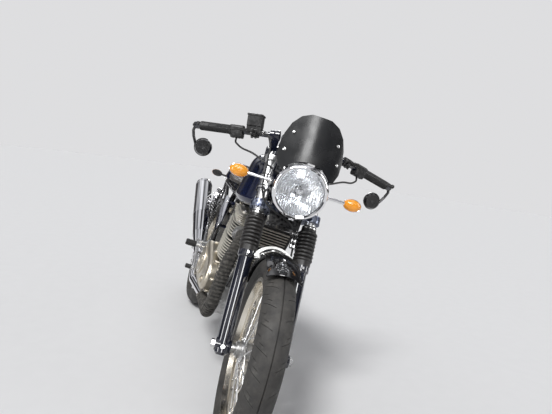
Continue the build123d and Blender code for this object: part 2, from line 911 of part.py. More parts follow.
def both_sides(points):
    """The same corner points on the machine's left and right."""
    left = [Vector(point) for point in points]
    return [left, [Vector(-point.X, point.Y, point.Z) for point in left]]


backbone = make_tubes(
    [([at_fork(0, fork_offset, 546), (0, -300, 788), (0, 150, 742)], 90, backbone_radius)],
    [head_tube_core.part],
)
with BuildPart() as frame_spine:
    add(head_tube_barrel.part)
    add(backbone.part)
down_tubes = make_tubes(
    [
        (run, 60, down_tube_radius)
        for run in both_sides([at_fork(24, 40, 590), at_fork(34, 150, 522), (40, -300, 524), (46, -222, 388)])
    ],
    [head_tube_core.part, backbone.part],
)
rear_frame = make_tubes(
    [
        (run, 60, rail_radius)
        for run in both_sides([(14, -60, 766), (rail_x, 110, 742), (rail_x, 520, 765), (60, 668, 790)])
    ]
    + [([(-rail_x, 300, 752.6), (rail_x, 300, 752.6)], 0, 9)]
    + [([(-60, 664, 789), (60, 664, 789)], 0, 9)]
    + [
        (run, 60, 13)
        for run in both_sides([(rail_x, 140, 743), (100, 196, 600), (100, 216, 380)])
    ]
    + [
        (run, 30, 11)
        for run in both_sides([(rail_x, 500, 764), (92, 330, 690), (99, 205, 560)])
    ],
    [backbone.part],
)
with BuildPart() as shock_plates:
    with BuildSketch(Plane.YZ.offset(82)):
        with BuildLine():
            Polyline((500, 762), (578, 768), (558, 692), (548, 684), (530, 684), (522, 692), close=True)
        make_face()
    extrude(amount=8)
    mirror(about=Plane.YZ)
rear_frame.part = rear_frame.part + shock_plates.part

with BuildPart() as pivot_plates:
    with BuildSketch(Plane.YZ.offset(plate_inner)):
        with BuildLine():
            Polyline(
                (196, 300),
                (176, 216),
                (206, 216),
                (244, 296),
                (252, 392),
                (222, 472),
                (108, 474),
                (98, 420),
                (170, 404),
                close=True,
            )
        make_face()
        fillet(vertices(), 8)
    extrude(amount=plate_thickness)
    mirror(about=Plane.YZ)
    with BuildSketch(across(-160, swingarm_pivot)):
        Circle(9)
    extrude(amount=320, mode=Mode.SUBTRACT)

with BuildPart() as swingarm:
    with BuildSketch(Plane.YZ.offset(swingarm_inner)):
        with BuildLine():
            Polyline(
                (205, 322),
                (205, 368),
                (rear_axle.Y - 220, 352),
                (rear_axle.Y - 100, 348),
                (rear_axle.Y - 60, 378),
                (rear_axle.Y - 36, 378),
                (rear_axle.Y - 10, 346),
                (rear_axle.Y + 40, 340),
                (rear_axle.Y + 40, 300),
                (rear_axle.Y - 220, 306),
                close=True,
            )
        make_face()
        fillet(vertices(), 6)
    extrude(amount=swingarm_outer - swingarm_inner)
    mirror(about=Plane.YZ)
    with BuildSketch(across(-swingarm_outer, swingarm_pivot)):
        Circle(21)
    extrude(amount=2 * swingarm_outer)
    with BuildSketch(across(-swingarm_outer, (0, 290, 338))):
        Circle(20)
    extrude(amount=2 * swingarm_outer)
    with BuildSketch(across(-160, swingarm_pivot)):
        Circle(9)
    extrude(amount=320, mode=Mode.SUBTRACT)
    with BuildSketch(across(-160, rear_axle)):
        Circle(rear_axle_radius)
    extrude(amount=320, mode=Mode.SUBTRACT)
    with BuildSketch(across(swingarm_outer, bobbin_hole)):
        Circle(bobbin_hole_radius)
    extrude(amount=-bobbin_hole_depth, mode=Mode.SUBTRACT)
    with BuildSketch(across(-swingarm_outer, bobbin_hole)):
        Circle(bobbin_hole_radius)
    extrude(amount=bobbin_hole_depth, mode=Mode.SUBTRACT)

with BuildPart() as spindle_bolts:
    with BuildSketch(across(-126, swingarm_pivot)):
        Circle(9)
    extrude(amount=252)
    for end in (-127, plate_inner + plate_thickness):
        with BuildSketch(across(end, swingarm_pivot)):
            RegularPolygon(14, 6)
        extrude(amount=8)
    with BuildSketch(across(-126, rear_axle)):
        Circle(rear_axle_radius)
    extrude(amount=252)
    for start, length in ((-swingarm_inner, 4), (85, swingarm_inner - 85)):
        with BuildSketch(across(start, rear_axle)):
            Circle(15)
        extrude(amount=length)
    for end in (-124, swingarm_outer):
        with BuildSketch(across(end, rear_axle)):
            RegularPolygon(16, 6)
        extrude(amount=12)

shock_foot = Vector(101, rear_axle.Y - 50, 364)
shock_head = Vector(101, 540, 700)
shock_radius = 24.0
shock_line = (shock_head - shock_foot).normalized()
shock = Plane(origin=shock_foot, x_dir=(1, 0, 0), z_dir=shock_line)
shock_length = (shock_head - shock_foot).length
with BuildPart() as rear_shocks:
    with BuildSketch(shock.offset(16)):
        Circle(15)
    extrude(amount=60)
    with BuildSketch(shock.offset(40)):
        Circle(9)
    extrude(amount=shock_length - 50)
    with BuildSketch(shock.offset(76)):
        Circle(shock_radius + 1)
    extrude(amount=6)
    with BuildSketch(shock.offset(shock_length - 66)):
        Circle(shock_radius + 1)
    extrude(amount=32)
    with BuildSketch(shock.offset(shock_length - 34)):
        Circle(20)
    extrude(amount=12)
    with BuildSketch(across(swingarm_outer, shock_foot)):
        Circle(14)
        with Locations((-10, 30)):
            Circle(11)
        make_hull()
    extrude(amount=12)
    with BuildSketch(across(swingarm_outer + 12, shock_foot)):
        RegularPolygon(9, 6)
    extrude(amount=6)
    with BuildSketch(across(90, shock_head)):
        Circle(14)
    extrude(amount=26)
    with BuildSketch(across(116, shock_head)):
        RegularPolygon(9, 6)
    extrude(amount=6)
    add(swingarm.part, mode=Mode.SUBTRACT)
    mirror(about=Plane.YZ)

with BuildPart() as shock_springs:
    with BuildSketch(shock.offset(82)):
        Circle(shock_radius)
        Circle(shock_radius - 6, mode=Mode.SUBTRACT)
    extrude(amount=shock_length - 66 - 82)
    mirror(about=Plane.YZ)

# ---- Engine

bank = Plane(
    origin=bank_base,
    x_dir=(1, 0, 0),
    z_dir=(0, -sin(radians(bank_tilt)), cos(radians(bank_tilt))),
)
block_height = fin_count * fin_pitch + 12
head_height = 78.0
rocker_height = 42.0

with BuildPart() as crankcase:
    with BuildSketch(Plane.YZ.offset(-case_half_width)):
        with BuildLine():
            Polyline(
                (-206, 300),
                (-214, 396),
                (-170, 455),
                (10, 493),
                (120, 484),
                (192, 430),
                (196, 322),
                (160, 300),
                close=True,
            )
        make_face()
        fillet(vertices(), 14)
    extrude(amount=2 * case_half_width)
    with BuildSketch(Plane.YZ.offset(-sump_half_width)):
        with BuildLine():
            Polyline((-190, 302), (-176, 246), (-150, 234), (110, 234), (150, 302), close=True)
        make_face()
    extrude(amount=2 * sump_half_width)
    with BuildSketch(bank):
        Rectangle(400, 400)
    extrude(amount=100, mode=Mode.SUBTRACT)
    with BuildSketch(Plane.YZ.offset(66)):
        with Locations((160, 345)):
            Rectangle(140, 120)
    extrude(amount=60, mode=Mode.SUBTRACT)
    for x in (-58, 34):
        with BuildSketch(Plane.YZ.offset(x)):
            with Locations((-216, 386)):
                Rectangle(34, 30)
        extrude(amount=24)
    add(down_tubes.part, mode=Mode.SUBTRACT)
    with BuildSketch(across(60, front_sprocket)):
        Circle(14)
    extrude(amount=26)
    with BuildSketch(across(chain_x - sprocket_thickness / 2, front_sprocket)):
        Circle(front_sprocket_radius - roller_height / 2)
    extrude(amount=sprocket_thickness)

with BuildPart() as engine_covers:
    with BuildSketch(Plane.YZ.offset(-case_half_width)):
        with Locations((26, 404)):
            Circle(98)
        with Locations((-112, 384)):
            Circle(74)
        make_hull()
    extrude(amount=-46)
    fillet(faces().sort_by(Axis.X)[0].edges(), 18)
    with BuildSketch(Plane.YZ.offset(-case_half_width - 40)):
        with Locations((26, 404)):
            Circle(66)
    extrude(amount=-14)
    fillet(faces().sort_by(Axis.X)[0].edges(), 6)
    with BuildSketch(Plane.YZ.offset(case_half_width)):
        with Locations((-96, 386)):
            Circle(76)
        with Locations((20, 400)):
            Circle(56)
        make_hull()
    extrude(amount=44)
    fillet(faces().sort_by(Axis.X)[-1].edges(), 16)
    with BuildSketch(Plane.YZ.offset(case_half_width + 36)):
        with Locations((-96, 386)):
            Circle(50)
    extrude(amount=14)
    fillet(faces().sort_by(Axis.X)[-1].edges(), 4)
    with BuildSketch(Plane.YZ.offset(94)):
        with Locations((150, 345)):
            Circle(50)
        with Locations((112, 352)):
            Circle(44)
        make_hull()
    extrude(amount=26)
    add(crankcase.part, mode=Mode.SUBTRACT)
    add(pivot_plates.part, mode=Mode.SUBTRACT)

with BuildPart() as cylinders:
    with BuildSketch(bank):
        RectangleRounded(2 * block_half_width - 40, 142, fin_corner - 10)
    extrude(amount=block_height)
    for k in range(fin_count):
        with BuildSketch(bank.offset(10 + k * fin_pitch)):
            RectangleRounded(2 * block_half_width, 176, fin_corner)
        extrude(amount=fin_thickness)

with BuildPart() as cylinder_head:
    with BuildSketch(bank.offset(block_height)):
        RectangleRounded(2 * block_half_width - 30, 150, fin_corner - 12)
    extrude(amount=head_height)
    for k in range(6):
        with BuildSketch(bank.offset(block_height + 6 + k * fin_pitch)):
            RectangleRounded(2 * block_half_width - 2 * k, 172 - 3 * k, fin_corner - 6)
        extrude(amount=fin_thickness)
    for x in (-65, 65):
        with BuildSketch(Plane(origin=bank_base, x_dir=(1, 0, 0), z_dir=-bank.y_dir)):
            with Locations((x, block_height + 36)):
                Circle(30)
        extrude(amount=96)
        with BuildSketch(Plane(origin=bank_base, x_dir=(1, 0, 0), z_dir=bank.y_dir)):
            with Locations((x, -block_height - 44)):
                Circle(27)
        extrude(amount=94)

    with BuildSketch(bank.offset(block_height + head_height)):
        RectangleRounded(2 * block_half_width - 24, 118, 40)
    extrude(amount=rocker_height, taper=14)

port_height = block_height + 36
port_face = bank_base - bank.y_dir * 96 + bank.z_dir * port_height
intake_face = bank_base + bank.y_dir * 94 + bank.z_dir * (block_height + 44)


def pipe_run(side):
    """Corner points of one exhaust, from its port to its silencer."""
    return [
        port_face + Vector(side * 65, 0, 0),
        port_face + Vector(side * 68, -52, -8),
        Vector(side * 98, -306, 500),
        Vector(side * 101, -306, 330),
        Vector(side * 97, -250, 264),
        Vector(side * 98, -60, 264),
        Vector(side * 144, 108, 286),
        Vector(side * silencer_start.X, silencer_start.Y, silencer_start.Z),
    ]


exhaust_wraps = make_tubes(
    [(pipe_run(side)[:6], 34, wrap_radius) for side in (-1, 1)], [cylinder_head.part]
)
link_pipes = make_tubes(
    [(pipe_run(side)[5:], 40, pipe_radius) for side in (-1, 1)], [exhaust_wraps.part]
)

with BuildPart() as silencers:
    add(link_pipes.part)
    for side in (-1, 1):
        start = Vector(side * silencer_start.X, silencer_start.Y, silencer_start.Z)
        stop = Vector(side * silencer_end.X, silencer_end.Y, silencer_end.Z)
        line = (stop - start).normalized()
        length = (stop - start).length
        tube_plane = Plane(origin=start, z_dir=line)
        profile_plane = Plane(origin=start, x_dir=tube_plane.x_dir, z_dir=tube_plane.x_dir.cross(line))
        with BuildSketch(profile_plane):
            with BuildLine():
                Polyline(
                    (0, 0),
                    (pipe_radius + 2, 0),
                    (pipe_radius + 6, 20),
                    (silencer_radius - 8, 150),
                    (silencer_radius, 300),
                    (silencer_radius, length - 30),
                    (silencer_radius - 4, length - 8),
                    (silencer_radius - 12, length),
                    (silencer_radius - 18, length),
                    (silencer_radius - 18, length - 80),
                    (0, length - 80),
                    close=True,
                )
            make_face()
        revolve(axis=Axis(start, line))
with BuildPart() as intake:
    with BuildSketch(Plane(origin=intake_face, x_dir=(1, 0, 0), z_dir=bank.y_dir)):
        with Locations((65, 0), (-65, 0)):
            Circle(26)
    extrude(amount=34)
    with BuildSketch(Plane(origin=intake_face + bank.y_dir * 34, x_dir=(1, 0, 0), z_dir=bank.y_dir)):
        with Locations((65, 0), (-65, 0)):
            Circle(30)
        Rectangle(90, 20)
    extrude(amount=56)
    with BuildSketch(Plane.YZ.offset(-70)):
        with BuildLine():
            Polyline((66, 560), (78, 715), (168, 718), (184, 600), (160, 540), (96, 540), close=True)
        make_face()
        fillet(vertices(), 10)
    extrude(amount=140)

with BuildPart() as oil_cooler:
    cooler_base = Plane(origin=(0, -392, 622), x_dir=(1, 0, 0), z_dir=(0, -0.42, 0.91))
    for k in range(12):
        with BuildSketch(cooler_base.offset(4 + k * 6)):
            Rectangle(132, 26)
        extrude(amount=2)
    with BuildSketch(cooler_base):
        with Locations((70, 0), (-70, 0)):
            Rectangle(10, 30)
        Rectangle(132, 16)
    extrude(amount=78)
    with BuildSketch(cooler_base.offset(30)):
        with Locations((37, 32), (-37, 32)):
            Rectangle(10, 54)
    extrude(amount=8)
    add(down_tubes.part, mode=Mode.SUBTRACT)

# ---- Tank, seat and tail


tank_sections = [
    # y, half width low, half width high, low, high, lower radius, upper radius
    (-366, 96, 70, 752, 890, 20, 40),
    (-300, 142, 112, 738, 945, 30, 62),
    (-160, 146, 112, 736, 955, 30, 66),
    (-20, 104, 84, 748, 905, 24, 50),
    (36, 88, 72, 758, 838, 20, 30),
]
with BuildPart() as fuel_tank:
    for row in tank_sections:
        with BuildSketch(Plane.XZ.offset(-row[0])) as section:
            with BuildLine():
                Polyline((-row[1], row[3]), (row[1], row[3]), (row[2], row[4]), (-row[2], row[4]), close=True)
            make_face()
            fillet(section.vertices().group_by(Axis.Y)[0], row[5])
            fillet(section.vertices().group_by(Axis.Y)[-1], row[6])
    loft()
    with BuildSketch(Plane.YZ.offset(-52)):
        with BuildLine():
            Polyline((-420, 700), (-420, 828), (-300, 822), (60, 784), (60, 700), close=True)
        make_face()
    extrude(amount=104, mode=Mode.SUBTRACT)
    with BuildSketch(Plane.YZ.offset(-74)):
        with BuildLine():
            Polyline((-80, 700), (-80, 790), (60, 782), (60, 700), close=True)
        make_face()
    extrude(amount=148, mode=Mode.SUBTRACT)
    for y, z in ((-290, 815), (10, 780)):
        with BuildSketch(Plane.XY.offset(z - 20)):
            with Locations((0, y)):
                Rectangle(26, 24)
        extrude(amount=32)
    add(backbone.part, mode=Mode.SUBTRACT)

with BuildPart() as filler_cap:
    with BuildSketch(Plane.XY.offset(930)):
        with Locations((0, -200)):
            Circle(38)
    extrude(amount=34)
    fillet(faces().sort_by(Axis.Z)[-1].edges(), 4)
    add(fuel_tank.part, mode=Mode.SUBTRACT)

seat_sections = [
    (48, 70, 62, 782, 818, 4, 14),
    (150, 104, 92, 779, 816, 4, 18),
    (320, 122, 108, 781, 814, 4, 18),
    (430, 116, 98, 786, 846, 4, 20),
]
with BuildPart() as seat:
    for row in seat_sections:
        with BuildSketch(Plane.XZ.offset(-row[0])) as section:
            with BuildLine():
                Polyline((-row[1], row[3]), (row[1], row[3]), (row[2], row[4]), (-row[2], row[4]), close=True)
            make_face()
            fillet(section.vertices().group_by(Axis.Y)[0], row[5])
            fillet(section.vertices().group_by(Axis.Y)[-1], row[6])
    loft()

cowl_sections = [
    (430.5, 116, 92, 788, 872, 6, 36),
    (560, 100, 76, 800, 888, 6, 36),
    (700, 56, 40, 824, 868, 6, 18),
]
with BuildPart() as seat_cowl:
    for row in cowl_sections:
        with BuildSketch(Plane.XZ.offset(-row[0])) as section:
            with BuildLine():
                Polyline((-row[1], row[3]), (row[1], row[3]), (row[2], row[4]), (-row[2], row[4]), close=True)
            make_face()
            fillet(section.vertices().group_by(Axis.Y)[0], row[5])
            fillet(section.vertices().group_by(Axis.Y)[-1], row[6])
    loft()
    with BuildSketch(Plane.YZ.offset(-74)):
        with BuildLine():
            Polyline(
                (60, 750),
                (60, 778),
                (400, 779),
                (436, 792),
                (560, 808),
                (640, 826),
                (650, 800),
                (520, 760),
                (110, 744),
                close=True,
            )
        make_face()
    extrude(amount=148)
    for other in (seat, rear_frame, backbone, fuel_tank):
        add(other.part, mode=Mode.SUBTRACT)

with BuildPart() as side_panels:
    with BuildSketch(Plane.YZ.offset(plate_inner)):
        with BuildLine():
            Polyline((62, 600), (70, 712), (176, 716), (214, 640), (212, 548), (150, 536), close=True)
        make_face()
        fillet(vertices(), 12)
    extrude(amount=4)
    for y, z in ((100, 690), (120, 570)):
        with BuildSketch(Plane.YZ.offset(78)):
            with Locations((y, z)):
                Circle(8)
        extrude(amount=plate_inner - 78)
    mirror(about=Plane.YZ)
    add(rear_frame.part, mode=Mode.SUBTRACT)

with BuildPart() as rear_mudguard:
    with BuildSketch(guard_plane(rear_axle, 34)):
        with BuildLine():
            ThreePointArc((-70, 318), (0, 342), (70, 318))
            Line((70, 318), (67.5, 316))
            ThreePointArc((67.5, 316), (0, 338.5), (-67.5, 316))
            Line((-67.5, 316), (-70, 318))
        make_face()
    revolve(axis=Axis(rear_axle, (1, 0, 0)), revolution_arc=-92)
    strut_turn = atan2(60, 320)
    strut_foot = rear_axle + Vector(0, sin(strut_turn), cos(strut_turn)) * 326

    for side in (-1, 1):
        with BuildLine() as strut:
            Polyline((side * 58, 660, 782), (side * 52, strut_foot.Y, strut_foot.Z))
        with BuildSketch(Plane(origin=strut.line @ 0, z_dir=strut.line % 0)):
            Circle(6)
        sweep(path=strut.line)
    add(rear_frame.part, mode=Mode.SUBTRACT)

with BuildPart() as rear_lamps:
    with BuildSketch(Plane.XZ.offset(-690)):
        with Locations((0, 790)):
            RectangleRounded(92, 44, 16)
    extrude(amount=-36)
    chamfer(faces().sort_by(Axis.Y)[-1].edges(), 6)
    with BuildSketch(Plane.XZ.offset(-684)):
        with Locations((0, 812)):
            Rectangle(40, 32)
    extrude(amount=-14)
    with BuildSketch(across(40, (0, 706, 788))):
        Circle(5.5)
    extrude(amount=70)
    with BuildSketch(Plane.XZ.offset(-694)):
        with Locations((134, 788)):
            Ellipse(30, 19)
    extrude(amount=-30)
    fillet(faces().sort_by(Axis.Y)[-1].edges(), 10)
    mirror(about=Plane.YZ)
    for other in (seat_cowl, rear_mudguard, rear_frame):
        add(other.part, mode=Mode.SUBTRACT)

# ---- Drive chain: two side plates round both sprockets

chain_gap = (rear_axle - front_sprocket).length
with BuildPart() as chain:
    lean_angle = degrees(asin((rear_sprocket_radius - front_sprocket_radius) / sqrt((rear_axle.Y - front_sprocket.Y) ** 2 + (rear_axle.Z - front_sprocket.Z) ** 2)))
    run_angle = degrees(atan2(rear_axle.Z - front_sprocket.Z, rear_axle.Y - front_sprocket.Y))

    def tangent_point(centre, radius, sign):
        """Where a chain run leaves a sprocket, above (+1) or below (-1)."""
        turn = radians(run_angle + sign * (90 + lean_angle))
        return (centre.Y + radius * cos(turn), centre.Z + radius * sin(turn))

    outer_plate = chain_inner_gap / 2 + chain_plate
    for x, width, height in (
        (chain_x - outer_plate, chain_plate, chain_height),
        (chain_x - chain_inner_gap / 2, chain_inner_gap, roller_height),
        (chain_x + chain_inner_gap / 2, chain_plate, chain_height),
    ):
        with BuildSketch(Plane.YZ.offset(x)):
            for grow, mode in ((height / 2, Mode.ADD), (-height / 2, Mode.SUBTRACT)):
                small = front_sprocket_radius + grow
                large = rear_sprocket_radius + grow
                with Locations((front_sprocket.Y, front_sprocket.Z)):
                    Circle(small, mode=mode)
                with Locations((rear_axle.Y, rear_axle.Z)):
                    Circle(large, mode=mode)
                with BuildLine():
                    Polyline(
                        tangent_point(front_sprocket, small, 1),
                        tangent_point(rear_axle, large, 1),
                        tangent_point(rear_axle, large, -1),
                        tangent_point(front_sprocket, small, -1),
                        close=True,
                    )
                make_face(mode=mode)
        extrude(amount=width)

# ---- Footrests, pedals and rear brake

with BuildPart() as rearsets:
    with BuildSketch(across(plate_inner + plate_thickness, (0, 150, 440))):
        Circle(15)
    extrude(amount=10)
    with BuildSketch(across(plate_inner + plate_thickness, (0, 150, 440))):
        Circle(8)
    extrude(amount=112)
    with BuildSketch(across(160, (0, 150, 440))):
        Circle(14)
    extrude(amount=66)
    with BuildSketch(across(plate_inner + plate_thickness, (0, 192, 452))):
        Circle(8)
    extrude(amount=57)
    with BuildSketch(Plane.YZ.offset(168)):
        with BuildLine():
            Polyline((206, 446), (206, 460), (190, 464), (70, 408), (-8, 366), (-8, 352), (74, 392), close=True)
        make_face()
    extrude(amount=8)
    with BuildSketch(across(176, (0, 4, 361))):
        Circle(8)
    extrude(amount=36)
    mirror(about=Plane.YZ)

with BuildPart() as rear_caliper:
    with BuildSketch(Plane.YZ.offset(-106)):
        with Locations((rear_axle.Y - 78, 266)):
            RectangleRounded(60, 78, 14)
    extrude(amount=48)
    with BuildSketch(across(rear_disc_x - 5, rear_axle)):
        Circle(rear_disc_radius + 5)
    extrude(amount=disc_thickness + 10, mode=Mode.SUBTRACT)
    add(swingarm.part, mode=Mode.SUBTRACT)

# ---- Side stand, standing on the floor where the machine leans on it

floor = parked.inverse()
floor_normal = (floor * Location(Vector(0, 0, 1))).position - floor.position
foot_height = floor.position.Z - (
    floor_normal.X * (stand_foot_x - floor.position.X)
    + floor_normal.Y * (stand_foot_y - floor.position.Y)
) / floor_normal.Z
stand_foot = Vector(stand_foot_x, stand_foot_y, foot_height)
stand_down = stand_foot - stand_pivot
stand_hinge = stand_down.cross(stand_folded).normalized()
stand_swing = stand_down.get_angle(stand_folded)
foot_plane = Plane(origin=stand_foot, x_dir=(0, 1, 0), z_dir=floor_normal)

with BuildPart() as side_stand:
    with BuildSketch(foot_plane):
        RectangleRounded(62, 44, 12)
    extrude(amount=6)
    with BuildSketch(Plane(origin=stand_pivot, z_dir=stand_hinge)):
        Circle(15)
    extrude(amount=19)
    head = stand_pivot + stand_hinge * 9.5
    leg = stand_foot + floor_normal * 4 - head
    with BuildSketch(Plane(origin=head, z_dir=leg)):
        Circle(9)
    extrude(amount=leg.length)
    with BuildSketch(foot_plane.offset(-60)):
        Rectangle(200, 200)
    extrude(amount=60, mode=Mode.SUBTRACT)

with BuildPart() as frame_plates:
    add(pivot_plates.part)
    with BuildSketch(Plane(origin=stand_pivot - stand_hinge * 0.4, z_dir=-stand_hinge)):
        Circle(15)
    extrude(amount=12)
    with BuildLine() as arm:
        Line(stand_pivot - stand_hinge * 9, Vector(plate_inner + 2, 192, 236))
    with BuildSketch(Plane(origin=arm.line @ 0, z_dir=arm.line % 0)):
        Circle(8)
    sweep(path=arm.line)

# ---- Each piece with its node name, by the body that carries it

chassis = {
    "frame_spine": frame_spine,
    "down_tubes": down_tubes,
    "rear_frame": rear_frame,
    "frame_plates": frame_plates,
    "swingarm": swingarm,
    "spindle_bolts": spindle_bolts,
    "rear_shocks": rear_shocks,
    "shock_springs": shock_springs,
    "crankcase": crankcase,
    "engine_covers": engine_covers,
    "cylinder_block": cylinders,
    "cylinder_head": cylinder_head,
    "exhaust_wraps": exhaust_wraps,
    "silencers": silencers,
    "intake": intake,
    "side_panels": side_panels,
    "oil_cooler": oil_cooler,
    "fuel_tank": fuel_tank,
    "filler_cap": filler_cap,
    "seat_pad": seat,
    "seat_cowl": seat_cowl,
    "rear_mudguard": rear_mudguard,
    "rear_lamps": rear_lamps,
    "drive_chain": chain,
    "rearsets": rearsets,
    "rear_caliper": rear_caliper,
}
swinging = {"side_stand": side_stand}
rear_wheel = {
    "rear_tyre": rear_tyre,
    "rear_rim": rear_rim,
    "rear_hub": rear_hub,
    "rear_disc": rear_disc,
    "rear_sprocket": rear_sprocket,
}
steering = {
    "front_axle": front_axle_shaft,
    "fork_lowers": fork_lowers,
    "fork_stanchions": fork_stanchions,
    "fork_gaiters": fork_gaiters,
    "lower_yoke": lower_yoke,
    "upper_yoke": upper_yoke,
    "front_mudguard": front_mudguard,
    "fork_brace": fork_brace,
    "headlamp_shell": headlamp_shell,
    "headlamp_rim": headlamp_rim,
    "headlamp_lens": headlamp_lens,
    "lamp_brackets": lamp_brackets,
    "indicator_stalks": front_indicator_stalks,
    "indicator_lenses": front_indicator_lenses,
    "clip_on_bars": clip_on_bars,
    "grips": grips,
    "bar_controls": bar_controls,
    "bar_end_mirrors": mirrors,
    "instruments": instruments,
    "fly_screen": fly_screen,
    "front_caliper": front_caliper,
    "control_cables": control_cables,
    "brake_hoses": brake_hose,
}
front_wheel = {
    "front_tyre": front_tyre,
    "front_rim": front_rim,
    "front_hub": front_hub,
    "front_disc": front_disc,
}

for group, place in (
    (chassis, parked),
    (swinging, parked),
    (rear_wheel, parked),
    (steering, parked * steered),
    (front_wheel, parked * steered),
):
    for name, piece in group.items():
        piece.part.move(place)
        piece.part.label = name

whole = {**chassis, **swinging, **rear_wheel, **steering, **front_wheel}
boxes = [piece.part.bounding_box() for piece in whole.values()]
low = [min(getattr(box.min, axis) for box in boxes) for axis in "XYZ"]
high = [max(getattr(box.max, axis) for box in boxes) for axis in "XYZ"]
centred = Location((-(low[0] + high[0]) / 2, -(low[1] + high[1]) / 2, -low[2]))

os.makedirs("parts", exist_ok=True)
for name, piece in whole.items():
    piece.part.move(centred)
    export_step(piece.part, f"parts/{name}.step")
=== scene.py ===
import json
import math
from bisect import bisect_right

import bmesh
import bpy
from bpy.props import FloatProperty, FloatVectorProperty, IntProperty, PointerProperty
from mathutils import Matrix, Vector, noise

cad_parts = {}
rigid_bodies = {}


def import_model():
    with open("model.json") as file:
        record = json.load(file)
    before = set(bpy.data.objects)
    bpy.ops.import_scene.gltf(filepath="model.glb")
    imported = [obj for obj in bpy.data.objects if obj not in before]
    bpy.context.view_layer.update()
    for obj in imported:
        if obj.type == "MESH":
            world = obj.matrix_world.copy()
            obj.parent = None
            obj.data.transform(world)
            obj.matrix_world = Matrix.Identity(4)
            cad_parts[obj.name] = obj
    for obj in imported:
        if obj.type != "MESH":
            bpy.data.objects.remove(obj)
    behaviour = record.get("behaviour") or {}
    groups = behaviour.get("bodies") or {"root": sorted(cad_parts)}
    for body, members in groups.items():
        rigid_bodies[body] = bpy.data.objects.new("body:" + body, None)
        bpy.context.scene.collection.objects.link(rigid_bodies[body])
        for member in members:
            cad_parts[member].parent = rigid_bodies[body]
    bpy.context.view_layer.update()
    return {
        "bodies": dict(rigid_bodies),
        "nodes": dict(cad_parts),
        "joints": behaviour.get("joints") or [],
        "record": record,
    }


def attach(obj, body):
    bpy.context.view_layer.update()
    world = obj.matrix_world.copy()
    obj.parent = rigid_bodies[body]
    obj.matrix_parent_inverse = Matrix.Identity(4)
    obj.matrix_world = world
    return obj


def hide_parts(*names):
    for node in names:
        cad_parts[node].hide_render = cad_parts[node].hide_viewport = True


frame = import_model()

bl_info = {
    "name": "Cafe racer dresser",
    "version": (1, 0, 0),
    "blender": (4, 5, 0),
    "location": "3D View > Sidebar > Cafe racer",
    "description": "Dresses the cafe racer's frame with its finishes and fine pieces",
    "category": "Add Mesh",
}

# ---- Where the machine stands. Points below are in millimetres of the upright machine:
# front to -Y, rider's left to +X, floor at Z 0, and they are leaned and steered from here.

JOINTS = {joint["name"]: joint for joint in frame["joints"]}
RAKE = math.radians(24.0)
FRONT_AXLE = Vector((0, -700, 319))
REAR_AXLE = Vector((0, 700, 320))
FORK_UP = Vector((0, math.sin(RAKE), math.cos(RAKE)))
FORK_FORWARD = Vector((0, -math.cos(RAKE), math.sin(RAKE)))
X_AXIS = Vector((1, 0, 0))
DOWN = Vector((0, 0, -1))


def machine_place(wheel_joint, axle):
    """Matrix from the upright machine, in millimetres, to the parked one, in metres."""
    joint = JOINTS[wheel_joint]
    up_fork = Vector(JOINTS["steering"]["axis"]).normalized()
    side = Vector(joint["axis"]).normalized()
    across = up_fork.cross(side).normalized()
    back = math.sin(RAKE) * up_fork + math.cos(RAKE) * across
    up = math.cos(RAKE) * up_fork - math.sin(RAKE) * across
    turn = Matrix((side, back, up)).transposed()
    origin = Vector(joint["pos_m"]) - turn @ (axle * 0.001)
    return Matrix.Translation(origin) @ turn.to_4x4() @ Matrix.Scale(0.001, 4)


CHASSIS = machine_place("rear_wheel_spin", REAR_AXLE)
FORK = machine_place("front_wheel_spin", FRONT_AXLE)
PLACES = {
    "chassis": CHASSIS,
    "side_stand": CHASSIS,
    "rear_wheel": CHASSIS,
    "steering": FORK,
    "front_wheel": FORK,
}


def at_fork(x, back, up):
    """A point from its place on the fork: across, rearward and up the legs from the axle."""
    return FRONT_AXLE + Vector((x, 0, 0)) - FORK_FORWARD * back + FORK_UP * up


BANK_TILT = math.radians(12.0)
BANK_BASE = Vector((0, -80, 470))
BANK_UP = Vector((0, -math.sin(BANK_TILT), math.cos(BANK_TILT)))
BANK_BACK = Vector((0, math.cos(BANK_TILT), math.sin(BANK_TILT)))
BLOCK_HEIGHT = 120.0
PORT_FACE = BANK_BASE - BANK_BACK * 96 + BANK_UP * (BLOCK_HEIGHT + 36)


def at_bank(x, back, up):
    """A point from its place on the cylinders: across, rearward and up from their base."""
    return BANK_BASE + X_AXIS * x + BANK_BACK * back + BANK_UP * up


# ---- Shared material effects


